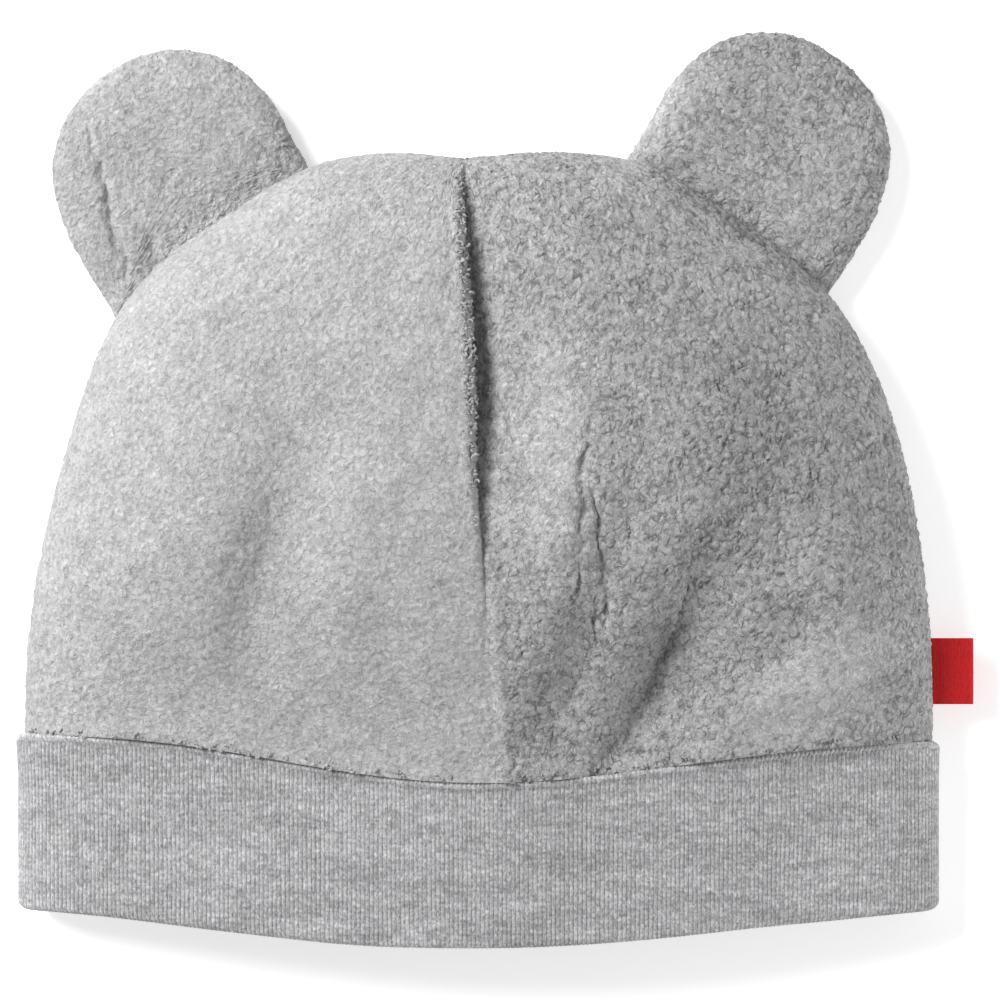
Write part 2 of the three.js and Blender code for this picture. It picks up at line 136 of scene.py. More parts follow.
# The middle seam, with the share of FOLD_DEPTH by which it lies sunk.
MIDDLE_SEAM = table(("up", "across", "fold"), [
    (-0.09, 0.041, 0.0),
    (0.05, 0.033, 0.0),
    (0.2, 0.02, 0.02),
    (0.32, 0.01, 0.22),
    (0.45, -0.003, 0.6),
    (0.62, -0.007, 0.95),
    (0.8, -0.023, 1.0),
    (0.92, -0.034, 0.7),
    (0.99, -0.03, 0.1),
])

# Dents and puffs of the front. Length and width are shares of the half width, rise of CROWN_RISE.
FRONT_FORMS = table(FORM, [
    ("left valley", (-0.44, 0.33), 0.27, 0.085, 15, -0.085),
    ("left puff", (-0.66, 0.3), 0.3, 0.14, 14, 0.06),
    ("middle ridge", (0.19, 0.32), 0.32, 0.085, 15, 0.07),
    ("right valley", (0.46, 0.15), 0.27, 0.1, 26, -0.2),
    ("right puff", (0.8, 0.2), 0.25, 0.13, 10, 0.09),
    ("upper right puff", (0.52, 0.6), 0.2, 0.18, -20, 0.04),
])

# Finer forms of the fleece than the solids show. Length, width and rise are in millimetres.
FORM_WANDER = {"size": 2.8, "amount": 0.9}  # creases wander to the side
CREASES = table(FORM, [
    ("sharp right valley", (0.365, 0.095), 21.0, 4.3, 25, -4.8),
    ("above the broad valley", (0.46, 0.15), 25.0, 9.4, 26, 2.7),
    ("soft valley by it", (0.19, 0.11), 19.0, 4.8, 18, -3.2),
    ("puff over the valleys", (0.3, 0.36), 9.0, 6.0, 20, -1.0),
    ("fan at the right", (0.68, 0.09), 19.0, 5.5, 53, 2.6),
    ("hollow over the fan", (0.7, 0.33), 14.0, 6.0, 40, -1.0),
    ("left valley, deeper", (-0.485, 0.25), 22.0, 7.5, 8, -1.6),
    ("left ridge", (-0.27, 0.29), 28.0, 6.0, 8, 1.1),
    ("left shoulder", (-0.72, 0.62), 14.0, 7.0, 20, 0.8),
    ("crease beside the ridge", (0.225, 0.4), 12.0, 0.8, 3, -1.3),
    ("crease below it", (0.262, 0.3), 11.0, 0.8, -6, -1.3),
    ("third crease", (0.2, 0.24), 6.0, 0.8, 10, -0.7),
    ("high crack on the ridge", (0.25, 0.385), 6.0, 0.6, -8, -0.9),
    ("low crack on the ridge", (0.254, 0.203), 7.0, 0.6, -6, -1.0),
    ("crack right of it", (0.279, 0.245), 5.0, 0.6, 2, -0.9),
    ("crack left of it", (0.209, 0.298), 7.0, 0.6, 2, -0.6),
    ("crack on the right slope", (0.33, 0.338), 4.0, 0.6, -25, -0.6),
    ("crack over the valley", (0.395, 0.271), 4.0, 0.6, 10, -0.6),
    ("crack by the valley's top", (0.445, 0.242), 5.0, 0.6, 15, -0.7),
    ("crack in the valley's side", (0.395, 0.182), 5.0, 0.6, 12, -0.8),
    ("crack by the seam", (0.09, 0.154), 6.0, 0.6, -5, -0.5),
    ("crack at the ridge's foot", (0.196, 0.131), 5.0, 0.6, 3, -0.7),
    ("crack near the band", (0.137, 0.068), 4.0, 0.6, 20, -0.5),
    ("right edge, low", (0.955, 0.2), 12.0, 0.8, -4, -0.8),
    ("right edge, high", (0.9, 0.45), 12.0, 0.9, -14, -0.6),
    ("left edge", (-0.9, 0.42), 14.0, 1.6, 12, -0.4),
])
EAR_CREASES = table(FORM, [
    ("left ear, outer side", (-0.812, 0.91), 15.0, 1.0, -15, -1.2),
    ("left ear, low root", (-0.728, 0.842), 4.5, 1.3, -40, -0.9),
    ("left ear, high root", (-0.45, 1.0), 5.0, 1.2, -50, -0.5),
    ("right ear, low root", (0.75, 0.83), 4.0, 1.0, 30, -0.7),
    ("right ear, high root", (0.47, 0.98), 6.0, 1.3, 50, -0.6),
])
BAND_FORMS = table(FORM, [
    ("under the valleys", (0.2, -0.17), 9.0, 7.0, 20, -1.1),
    ("right end", (0.84, -0.22), 9.0, 4.0, 50, 0.7),
    ("left of the middle", (-0.3, -0.2), 10.0, 9.0, -30, 0.7),
])

# Painted light and shade: patches where the pile's colour is lighter or darker as light or shade falls
# there.
PAINTED_LIGHT = table(PATCH, [
    ("right of the fold", (0.15, 0.5), 26.0, 7.5, 2, 0.19),
    ("low right", (0.72, 0.08), 18.0, 7.0, 52, 0.3),
    ("seam allowance", (0.037, 0.108), 26.0, 1.9, -3, 0.12),
    ("over the low right", (0.64, 0.19), 12.0, 5.0, 52, -0.13),
    ("by the right edge", (0.71, 0.31), 9.0, 6.0, -30, 0.07),
    ("middle right", (0.6, 0.52), 24.0, 15.0, -10, -0.17),
    ("right edge", (0.92, 0.38), 26.0, 6.0, -10, -0.1),
    ("over the right valley", (0.5, 0.33), 9.0, 6.0, 20, -0.13),
    ("right valley", (0.38, 0.13), 19.0, 5.0, 26, -0.14),
    ("beside the right valley", (0.17, 0.08), 15.0, 5.0, 15, -0.17),
    ("left valley", (-0.49, 0.24), 24.0, 7.0, 8, -0.07),
    ("left ridge", (-0.26, 0.4), 26.0, 5.0, 8, 0.05),
    ("left shoulder", (-0.68, 0.6), 12.0, 10.0, 20, 0.05),
    ("upper left", (-0.2, 0.83), 13.0, 26.0, 0, 0.05),
    ("left ear", (-0.73, 0.92), 22.0, 22.0, 0, 0.05),
    ("right ear, inner edge", (0.389, 1.057), 15.0, 5.0, 34, 0.25),
    ("right ear, middle", (0.643, 1.08), 8.0, 12.0, -20, -0.08),
    ("right ear, low", (0.709, 0.9), 9.0, 8.0, 0, 0.08),
    ("right ear's seam", (0.587, 0.859), 19.0, 1.2, -56, -0.25),
    ("upper right", (0.3, 0.85), 14.0, 12.0, -30, -0.05),
])
# Painted light and shade on the band, lighter or darker as light or shade falls there.
BAND_PAINTED_LIGHT = table(PATCH, [
    ("under the valleys", (0.24, -0.15), 11.0, 16.0, 0, -0.09),
    ("right end", (0.84, -0.2), 13.0, 6.0, 45, 0.1),
    ("left of the middle", (-0.45, -0.2), 8.0, 26.0, 0, 0.05),
])

# An ear's outline about its middle. Angles are from its tip, positive towards the hat's middle.
EAR_OUTLINE = table(("angle", "reach"), [
    (-137, 1.56),
    (-125, 1.32),
    (-110, 1.145),
    (-90, 1.045),
    (-60, 1.0),
    (-30, 0.966),
    (0, 0.955),
    (30, 1.0),
    (60, 1.045),
    (90, 1.066),
    (110, 1.11),
    (125, 1.25),
    (138, 1.48),
    (180, 1.1),
])

EARS = [
    {"name": "left", "side": -1, "along": 0.668, "stand_off": 15.6},
    {"name": "right", "side": 1, "along": 0.677, "stand_off": 16.7},
]

# Fleece: a pile of small curls. Sizes in millimetres.
PILE = {
    "left": {"curl": 1.7, "crack": 0.6, "cracked": 0.6, "height": 0.55},
    "right": {"curl": 1.7, "crack": 0.45, "cracked": 0.85, "height": 0.62},
}
PILE_WARPS = [{"size": 2.4, "amount": 1.25, "salt": 0}, {"size": 0.9, "amount": 0.5, "salt": 20}]
CURL = {"base": 0.35, "dome": 0.3, "bead": 0.35}  # parts of a curl's height
BEAD = {"size": 0.45, "crack": 0.35}  # small beads on a curl, as shares of it
BROKEN = {"usual": 0.55, "spread": 0.9, "size": 1.5}  # where cracks run between the curls
PILE_INSIDE = 0.6  # the pile's share on inner walls
PILE_LEVEL = 0.3  # the share of the pile's height that lies at the cloth's surface
# The pile stands higher on the fold's lip, and lower where the painted light is brighter.
FLUFF = {"lip": 2.4, "lip_at": 1.6, "lip_width": 1.6, "by_painted_light": 2.8, "least": 0.5, "most": 1.55}
TUFT = {"least": 0.3, "most": 0.7, "thickness": 0.56, "steps": 7, "sides": 4}
TUFT_TURN = (3.4, 5.4)
TUFT_TAPER = 0.35
FOLD_TUFTS = {"count": 300, "up": (0.33, 0.97), "aside": (-0.2, 2.2), "rise": (-0.4, 0.15)}
BAND_TUFTS = {"count": 75, "across": (0.05, 0.985), "above": (0.1, 1.4), "rise": (-0.2, 0.3)}
PILE_EDGE = 0.6  # the pile rises from nothing over this distance from a seam
EAR_CLEARANCE = 3.5  # the same under the ears, where the crown's wall meets them
EAR_SPAN = {"middle": 0.676, "reach": 0.22, "fade": 0.04}  # in shares up the side seam

# Jersey: ribs called wales run down the band.
WALE_PITCH = 0.9
WALE_HEIGHT = 0.16
WALE_LEVEL = 0.6  # the share of a wale's height that lies at the wall's surface
WALE_INSIDE = 0.7
WALE_SWAY = {"amount": 0.18, "size": (9.0, 14.0, 9.0)}  # wales wander by this share of their pitch
BAND_SWELL = {"amount": 0.4, "size": (26.0, 14.0, 26.0)}
COURSE_PITCH = 1.1
JERSEY_MOTTLING = [
    {"scale": (0.4, 1.6, 0.4), "detail": 3.0, "spread": 0.18},
    {"scale": (0.07, 0.45, 0.07), "detail": 3.0, "spread": 0.18},
    {"scale": (3.2, 1.5, 3.2), "detail": 2.0, "spread": 0.4},
]

# The band's lip under its seam with the crown, in steps of (down from the seam, in from the wall).
BAND_LIP = [(0.0, 0.0), (0.05, -0.15), (0.3, -0.35), (0.65, -0.42), (1.0, -0.3), (1.2, -0.1), (1.4, 0.05)]
LIP_LIFT = 1.1  # how much higher the wales stand on the lip
BAND_CORNER = {"width": 0.025, "drop": 1.8, "rise": 0.8}  # width in shares of the half width

SHEEN_ROUGHNESS = 0.6
LABEL_RED = (0.5, 0.011, 0.014)
SHARP_ANGLE = 62  # faces that meet at more than this are shaded apart, as at a shell's rim

# How finely each surface is divided, in cells.
FRONT_CELLS = (356, 254)
BACK_CELLS = (222, 172)
INNER_CELLS = (40, 26)
EAR_FRONT_CELLS = 190
EAR_BACK_CELLS = 130
EAR_INNER_CELLS = 16
EAR_RAYS = 1441
EAR_SAMPLES = 800
EAR_CROWDING = 0.7  # 1 crowds an ear's cells towards its rim, 0 spaces them evenly
BAND_ROWS = 36
BAND_FOLD_ROWS = 8
BAND_INNER_ROWS = 8
BAND_INNER_STEP = 4  # steps of the outer wall for one of the inner wall
BAND_STEPS_PER_WALE = 6
BAND_BACK_STEPS_PER_WALE = 3
LABEL_POINTS = {"turn": 9, "along": 13, "rows": 25}
CURVE_STEPS = 60
EAR_CURVE_STEPS = 40
SEAM_SAMPLES = 400
EVEN_SAMPLES = 500

# Numbers and noise.


def mix(a, b, t):
    return a + (b - a) * t


def smooth(t):
    t = np.clip(t, 0.0, 1.0)
    return t * t * (3 - 2 * t)


def bell(distance, width):
    return np.exp(-((distance / width) ** 2))


def lattice_random(cells, salt):
    """A number from 0 to 1 for each whole-numbered 3-D cell."""
    c = cells.astype(np.int64).astype(np.uint32)
    h = c[..., 0] * np.uint32(0x8DA6B343) + c[..., 1] * np.uint32(0xD8163841)
    h = h + c[..., 2] * np.uint32(0xCB1AB31F) + np.uint32((salt * 0x9E3779B9) & 0xFFFFFFFF)
    h ^= h >> np.uint32(13)
    h *= np.uint32(0x5BD1E995)
    h ^= h >> np.uint32(15)
    return h.astype(np.float64) / 2**32


def value_noise(points, salt=0):
    """Smooth noise from -1 to 1 with features about one unit wide."""
    cell = np.floor(points)
    t = smooth(points - cell)
    total = 0.0
    for corner in np.ndindex(2, 2, 2):
        weight = np.prod(np.where(np.array(corner) == 1, t, 1 - t), axis=-1)
        total = total + weight * lattice_random(cell + np.array(corner), salt)
    return 2 * total - 1


def cell_distances(points, salt=0):
    """Distances to the nearest and second nearest of one scattered point in each unit cell."""
    cell = np.floor(points)
    nearest = np.full(points.shape[:-1], 9.0)
    second = nearest
    for offset in np.ndindex(3, 3, 3):
        at = cell + np.array(offset) - 1
        spot = at + np.stack([lattice_random(at, salt + k) for k in (1, 2, 3)], axis=-1)
        distance = np.sqrt(np.sum((points - spot) ** 2, axis=-1))
        second = np.minimum(second, np.maximum(nearest, distance))
        nearest = np.minimum(nearest, distance)
    return nearest, second


def curls(points, pile, salt):
    """The pile's height from 0, a crack between curls, to 1, the top of a curl."""
    bent = points
    for warp in PILE_WARPS:
        salts = [salt + warp["salt"] + k for k in (11, 12, 13)]
        shift = np.stack([value_noise(bent / warp["size"], s) for s in salts], axis=-1)
        bent = bent + warp["amount"] * shift
    nearest, second = cell_distances(bent / pile["curl"], salt)
    crack = smooth((second - nearest) / pile["crack"])
    dome = 1 - nearest**2
    bead_near, bead_second = cell_distances(bent / (BEAD["size"] * pile["curl"]), salt + 40)
    bead = smooth((bead_second - bead_near) / BEAD["crack"]) * (1 - 0.5 * bead_near**2)
    broken = smooth(BROKEN["usual"] + BROKEN["spread"] * value_noise(points / BROKEN["size"], salt + 60))
    top = CURL["base"] + CURL["dome"] * dome + CURL["bead"] * bead
    return np.clip(mix(1.0, crack, broken * pile["cracked"]) * top, 0.0, 1.0)


# Curves in plan.


def catmull_rom(points, steps, closed=False):
    """A centripetal Catmull-Rom curve through the points."""
    points = np.asarray(points, float)
    if closed:
        padded = np.vstack([points[-1], points, points[:2]])
        count = len(points)
    else:
        padded = np.vstack([2 * points[0] - points[1], points, 2 * points[-1] - points[-2]])
        count = len(points) - 1
    t = np.linspace(0, 1, steps, endpoint=False)[:, None]
    pieces = []
    for i in range(count):
        a, b, c, d = padded[i : i + 4]
        before, along, after = (math.sqrt(np.linalg.norm(q - p)) for p, q in ((a, b), (b, c), (c, d)))
        start = along * ((b - a) / before - (c - a) / (before + along) + (c - b) / along)
        end = along * ((c - b) / along - (d - b) / (along + after) + (d - c) / after)
        cubic = (2 * b - 2 * c + start + end) * t**3 + (-3 * b + 3 * c - 2 * start - end) * t**2
        pieces.append(cubic + start * t + b)
    pieces.append(points[:1] if closed else points[-1:])
    return np.vstack(pieces)


def resampled(curve, shares):
    """Points at shares of a curve's length."""
    length = np.concatenate([[0], np.cumsum(np.linalg.norm(np.diff(curve, axis=0), axis=1))])
    return np.stack([np.interp(shares * length[-1], length, axis) for axis in curve.T], axis=-1)


def table_curve(rows, column):
    """One column of the middle seam's table as a smooth function of the share up the crown."""
    up = np.array([row["up"] for row in rows])
    out = np.array([row[column] for row in rows])
    slope = np.empty(len(rows))
    slope[1:-1] = (out[2:] - out[:-2]) / (up[2:] - up[:-2])
    slope[0] = (out[1] - out[0]) / (up[1] - up[0])
    slope[-1] = (out[-1] - out[-2]) / (up[-1] - up[-2])

    def curve(value):
        i = np.clip(np.searchsorted(up, value, side="left") - 1, 0, len(rows) - 2)
        span = up[i + 1] - up[i]
        t = np.clip((value - up[i]) / span, 0, 1)
        start = t * (1 - t) ** 2 * span * slope[i]
        end = t**2 * (t - 1) * span * slope[i + 1]
        return mix(out[i], out[i + 1], smooth(t)) + start + end

    return curve


SEAM_ACROSS = table_curve(MIDDLE_SEAM, "across")
SEAM_FOLD = table_curve(MIDDLE_SEAM, "fold")
TOP = np.array([MIDDLE_SEAM[-1]["across"] * CROWN_HALF_WIDTH, MIDDLE_SEAM[-1]["up"] * CROWN_HEIGHT])


def middle_seam_x(y):
    return CROWN_HALF_WIDTH * SEAM_ACROSS(y / CROWN_HEIGHT)


def hang(share, sharpness):
    power = mix(sharpness[0], sharpness[1], (share + 1) / 2)
    return np.cos(np.pi / 2 * np.clip(np.abs(share), 0, 1)) ** power


def band_seam_y(share, sag):
    return -sag * hang(share, BAND_SEAM_SHARPNESS) - BAND_SEAM_DROP * (share + 1) / 2


def mouth_y(share, sag):
    return -BAND_HEIGHT - sag * hang(share, MOUTH_SHARPNESS)


def side_seam(side):
    name = SIDE_NAMES[side]
    scale = np.array([side * CROWN_HALF_WIDTH, CROWN_HEIGHT])
    start = [side * CROWN_HALF_WIDTH, band_seam_y(side, 0) + SEAM_GAP / 2]
    return catmull_rom([start, *(np.array(row[name]) * scale for row in SIDE_SEAM), TOP], CURVE_STEPS)


SIDE_SEAMS = {side: side_seam(side) for side in (-1, 1)}


def outline_table():
    shares = np.linspace(0, 1, SEAM_SAMPLES)
    right = resampled(SIDE_SEAMS[1], shares)
    left = resampled(SIDE_SEAMS[-1], shares)[-2::-1]
    ring = np.maximum(np.vstack([right, left]), [[-1e9, 0]])
    return np.arctan2(ring[:, 1], ring[:, 0]), np.hypot(ring[:, 0], ring[:, 1])


OUTLINE_ANGLE, OUTLINE_REACH = outline_table()


def polar_of(x, y):
    """Distance from the plan's origin, and the outline's distance in that direction."""
    reach = np.interp(np.arctan2(y, x), OUTLINE_ANGLE, OUTLINE_REACH)
    above = y > 0
    return np.where(above, np.hypot(x, y), np.abs(x)), np.where(above, reach, CROWN_HALF_WIDTH)


# Heights of the crown.


def seam_gap(inset):
    """The gap at a seam, between the inner walls or between the outer ones."""
    return SEAM_GAP if inset else SHOWN_GAP


def dome_fall(share):
    return (1 - np.clip(share, 0, 1) ** DOME_SHOULDER) ** (1 / DOME_EDGE)


def roll_share(distance, roll):
    t = np.clip(1 - distance / roll, 0, 1)
    return 1 - np.sqrt(1 - t * t)


def leaning_bell(x, y, form, length, width):
    dx = x - form["at"][0] * CROWN_HALF_WIDTH
    dy = y - form["at"][1] * CROWN_HEIGHT
    lean = math.radians(form["lean"])
    along = dx * math.sin(lean) + dy * math.cos(lean)
    aside = dx * math.cos(lean) - dy * math.sin(lean)
    return bell(along, length) * bell(aside, width)


def dents_and_puffs(x, y):
    rise = 0.0
    for form in FRONT_FORMS:
        length = form["length"] * CROWN_HALF_WIDTH
        width = form["width"] * CROWN_HALF_WIDTH
        rise = rise + form["rise"] * CROWN_RISE * leaning_bell(x, y, form, length, width)
    return rise


def fine_relief(x, y, forms):
    """The rise of finer forms at a place. They wander a little, as creases in fleece do."""
    wander = value_noise(np.stack([x, y, 0 * x], axis=-1) / FORM_WANDER["size"], 31)
    x = x + FORM_WANDER["amount"] * wander
    return sum(f["rise"] * leaning_bell(x, y, f, f["length"], f["width"]) for f in forms)


# A factor about 1 of painted light and shade from the patches.
def painted_light_tone(points, patches):
    x, y = points[..., 0], points[..., 1]
    return 1 + sum(p["tone"] * leaning_bell(x, y, p, p["length"], p["width"]) for p in patches)


def middle_seam_depth(x, y, inset):
    aside = x - middle_seam_x(y)
    fold = np.maximum(0, SEAM_FOLD(y / CROWN_HEIGHT))
    if inset:
        width = np.where(aside < 0, FOLD_LIP_WIDTH, FOLD_SLOPE_WIDTH)
        sunk = FOLD_DEPTH * bell(aside, width + inset)
        return fold * sunk + SEAM_PINCH * bell(aside, FOLD_LIP_WIDTH + inset)
    steep, slack = FOLD_SHOWN["steep"], FOLD_SHOWN["slack"]
    right = steep["depth"] * bell(aside, steep["width"]) + slack["depth"] * bell(aside, slack["width"])
    behind = FOLD_SHOWN["behind_lip"]
    left = (steep["depth"] + slack["depth"]) * bell(aside, FOLD_SHOWN["lip"])
    wander = value_noise(np.stack([0 * x, y, 0 * x], axis=-1) / FOLD_SHOWN["wander"], 41)
    left = left + behind["depth"] * (1 + wander) * bell(aside + behind["aside"] + wander, behind["width"])
    ridge = SEAM_RIDGE["rise"] * bell(aside - SEAM_RIDGE["aside"], SEAM_RIDGE["width"])
    pinch = SEAM_PINCH_SHOWN * bell(aside, FOLD_LIP_WIDTH) - ridge * smooth(1 - 2 * fold)
    return fold * np.where(aside < 0, left, right) + pinch


def crown_front_height(x, y, inset):
    distance, reach = polar_of(x, y)
    fall = dome_fall(distance / (reach - inset))
    climb = smooth((y + BAND_SEAM_SAG) / (CROWN_CLIMB * CROWN_HEIGHT))
    rise = mix(BAND_SEAM_RISE + BAND_PINCH_DEPTH / 2, CROWN_RISE, climb)
    base = SIDE_SEAM_HEIGHT + seam_gap(inset) / 2
    seam = band_seam_y(x / CROWN_HALF_WIDTH, BAND_SEAM_SAG)
    relief = dents_and_puffs(x, y) - middle_seam_depth(x, y, inset)
    relief = relief - (BAND_PINCH_DEPTH if inset else BAND_PINCH_SHOWN) * bell(y - seam, BAND_PINCH_WIDTH)
    if inset == 0:
        relief = relief + fine_relief(x, y, CREASES)
    return base + (rise - inset - base + relief) * fall


def crown_back_height(x, y, inset):
    distance, reach = polar_of(x, y)
    edge = SIDE_SEAM_HEIGHT - seam_gap(inset) / 2
    return mix(inset, edge, roll_share(reach - inset - distance, CROWN_EDGE_ROLL))


# Surfaces as grids of points.


def even_shares(surface, count):
    """Shares from 0 to 1 that space points evenly along the surface. surface maps shares to points."""
    t = 0.5 * (1 - np.cos(np.pi * np.linspace(0, 1, EVEN_SAMPLES)))
    points = surface(np.broadcast_to(t, (1, EVEN_SAMPLES)))
    length = np.linalg.norm(np.diff(points, axis=1), axis=2)
    length = np.concatenate([np.zeros((len(length), 1)), np.cumsum(length, axis=1)], axis=1)
    total = length[:, -1:]
    even = np.linspace(0, 1, count + 1)
    safe = np.where(total > 1e-6, length / np.maximum(total, 1e-6), np.linspace(0, 1, EVEN_SAMPLES))
    return np.stack([np.interp(even, row, t) for row in safe])


def panel_grid(side, is_front, inset, cells):
    """A crown panel's points, a row for each step from the band to the top."""
    rows, columns = cells
    gap = seam_gap(inset)
    sag = BAND_SEAM_SAG if is_front else 0.0
    height = crown_front_height if is_front else crown_back_height
    middle_x = middle_seam_x if is_front else lambda y: np.full(np.shape(y), TOP[0])
    v = np.linspace(0, 1, rows + 1)[:, None]
    edge = resampled(SIDE_SEAMS[side], v[:, 0])
    distance, reach = polar_of(edge[:, 0], edge[:, 1])
    edge = edge * ((reach - inset) / distance)[:, None]
    low = band_seam_y(float(middle_x(np.array(-sag))) / CROWN_HALF_WIDTH, sag) + gap / 2
    middle_y = mix(low, TOP[1] - inset, v)
    middle = middle_x(middle_y) + side * gap / 2
    corner_y = SIDE_SEAMS[side][0, 1]
    ends_x = np.where(v == 1, middle, edge[:, :1])
    ends_y = np.where(v == 1, middle_y, edge[:, 1:])

    def surface(u):
        x = mix(middle, ends_x, u)
        low_x = mix(middle_x(np.array(low)), side * (CROWN_HALF_WIDTH - inset), u)
        seam = band_seam_y(low_x / CROWN_HALF_WIDTH, sag) + gap / 2
        y = mix(middle_y, ends_y, u) + (1 - v) ** 2 * (seam - mix(low, corner_y, u))
        return np.stack([x, y, height(x, y, inset)], axis=-1)

    points = surface(even_shares(surface, columns))
    points[:, -1, 2] = points[-1, :, 2] = SIDE_SEAM_HEIGHT + (gap / 2 if is_front else -gap / 2)
    return points[:, ::-1] if (side < 0) == is_front else points


def grid_normals(points, wrap=False):
    """Unit normals of a grid whose columns turn anticlockwise round them from its rows."""
    across = np.gradient(points, axis=1)
    if wrap:
        across[:, 0] = across[:, -1] = (points[:, 1] - points[:, -2]) / 2
    up = np.gradient(points, axis=0)
    normal = np.cross(across, up)
    size = np.linalg.norm(normal, axis=-1, keepdims=True)
    return normal / np.maximum(size, 1e-12)


def distance_from_ends(points, axis):
    """Lengths along the grid's lines from its first and from its last point."""
    step = np.linalg.norm(np.diff(points, axis=axis), axis=-1)
    length = np.cumsum(step, axis=axis)
    zero = np.zeros_like(np.take(length, [0], axis=axis))
    length = np.concatenate([zero, length], axis=axis)
    return length, np.take(length, [-1], axis=axis) - length


def piled(points, normals, ease, pile, salt, fluff=1.0):
    """Points raised by the pile, and the pile's height share at each."""
    share = curls(points, pile, salt)
    lift = fluff * pile["height"] * (share - PILE_LEVEL) * smooth(ease)
    return points + normals * lift[..., None], share


# Closed meshes from an outer and a coarser inner grid.


def border(ids):
    """The loop of ids round a grid, and where each lies from 0 to 4 along the four sides."""
    sides = [ids[0, :-1], ids[:-1, -1], ids[-1, :0:-1], ids[:0:-1, 0]]
    place = [k + np.arange(len(s)) / len(s) for k, s in enumerate(sides)]
    return np.concatenate(sides), np.concatenate(place)


def zipped(loop_a, place_a, loop_b, place_b):
    """Triangles between two closed loops, walking both by place."""
    triangles = []
    i = j = 0
    while i < len(loop_a) or j < len(loop_b):
        next_a = place_a[i + 1] if i + 1 < len(loop_a) else (np.inf if i == len(loop_a) else 1e6)
        next_b = place_b[j + 1] if j + 1 < len(loop_b) else (np.inf if j == len(loop_b) else 1e6)
        a, b = loop_a[i % len(loop_a)], loop_b[j % len(loop_b)]
        if next_a <= next_b:
            i += 1
            triangles.append((loop_a[i % len(loop_a)], a, b))
        else:
            j += 1
            triangles.append((a, b, loop_b[j % len(loop_b)]))
    return triangles


def grid_quads(ids, flipped=False):
    a, b, c, d = ids[:-1, :-1], ids[:-1, 1:], ids[1:, 1:], ids[1:, :-1]
    order = (a, d, c, b) if flipped else (a, b, c, d)
    return np.stack([k.ravel() for k in order], axis=-1)


def shell_faces(outer_shape, inner_shape, wrap):
    """Faces of a shell. Wrapped grids join their last column to their first."""
    outer = np.arange(np.prod(outer_shape)).reshape(outer_shape)
    inner = np.arange(np.prod(inner_shape)).reshape(inner_shape) + outer.size
    if not wrap:
        faces = [grid_quads(outer), grid_quads(inner, flipped=True)]
        return faces, zipped(*border(outer), *border(inner))
    outer_ring = np.hstack([outer, outer[:, :1]])
    inner_ring = np.hstack([inner, inner[:, :1]])
    faces = [grid_quads(outer_ring), grid_quads(inner_ring, flipped=True)]
    place_a = np.arange(outer_shape[1]) / outer_shape[1]
    place_b = np.arange(inner_shape[1]) / inner_shape[1]
    low = zipped(outer[0], place_a, inner[0], place_b)
    high = [t[::-1] for t in zipped(outer[-1], place_a, inner[-1], place_b)]
    return faces, low + high


OFFSET = np.array(
    [
        500 * (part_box("band")[0].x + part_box("band")[1].x),
        1000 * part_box("band")[0].y + BAND_HEIGHT + MOUTH_SAG,
        0.0,
    ]
)


def placed(points):
    return (points + OFFSET) / 1000


def put(name, data, place=(0, 0, 0)):
    """A new object in the scene."""
    thing = bpy.data.objects.new(name, data)
    thing.location = place
    bpy.context.scene.collection.objects.link(thing)
    return thing


def build(name, points, faces, triangles, values, material, node):
    """A mesh object from points in the hat's plan, with one value for each point by name."""
    mesh = bpy.data.meshes.new(name)
    quads = np.concatenate(faces)
    corners = np.concatenate([quads.ravel(), np.array(triangles, int).ravel()])
    sizes = np.concatenate([np.full(len(quads), 4), np.full(len(triangles), 3)])
    mesh.vertices.add(len(points))
    mesh.vertices.foreach_set("co", placed(points).ravel())
    mesh.loops.add(len(corners))
    mesh.loops.foreach_set("vertex_index", corners)
    mesh.polygons.add(len(sizes))
    mesh.polygons.foreach_set("loop_start", np.concatenate([[0], np.cumsum(sizes)[:-1]]))
    for key, value in values.items():
        layer = mesh.attributes.new(key, "FLOAT", "POINT")
        layer.data.foreach_set("value", value)
    mesh.update(calc_edges=True)
    work = bmesh.new()
    work.from_mesh(mesh)
    bmesh.ops.remove_doubles(work, verts=work.verts, dist=2e-7)
    bmesh.ops.dissolve_degenerate(work, edges=work.edges, dist=1e-8)
    work.to_mesh(mesh)
    work.free()
    mesh.polygons.foreach_set("use_smooth", np.ones(len(mesh.polygons), bool))
    mesh.materials.append(material)
    piece = put(name, mesh)
    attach(piece, "root")
    if node:
        mesh.set_sharp_from_angle(angle=math.radians(SHARP_ANGLE))
        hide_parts(node)


def shell(name, outer, inner, values, patches, material, node, wrap=False, flipped=False):
    """A piece from its two walls. values has each attribute's outer grid and its one value inside."""
    faces, triangles = shell_faces(outer.shape[:2], inner.shape[:2], wrap)
    if flipped:
        faces = [f[:, ::-1] for f in faces]
        triangles = [t[::-1] for t in triangles]
    points = np.concatenate([outer.reshape(-1, 3), inner.reshape(-1, 3)])
    points[:, 2] = np.maximum(points[:, 2], 0.0)
    inside = np.ones(inner.size // 3)
    values = {key: np.concatenate([grid.ravel(), rest * inside]) for key, (grid, rest) in values.items()}
    # Each point gets its factor of painted light and shade from the patches.
    if patches:
        values["painted_light"] = painted_light_tone(points, patches)
    build(name, points, faces, triangles, values, material, node)


# Materials.


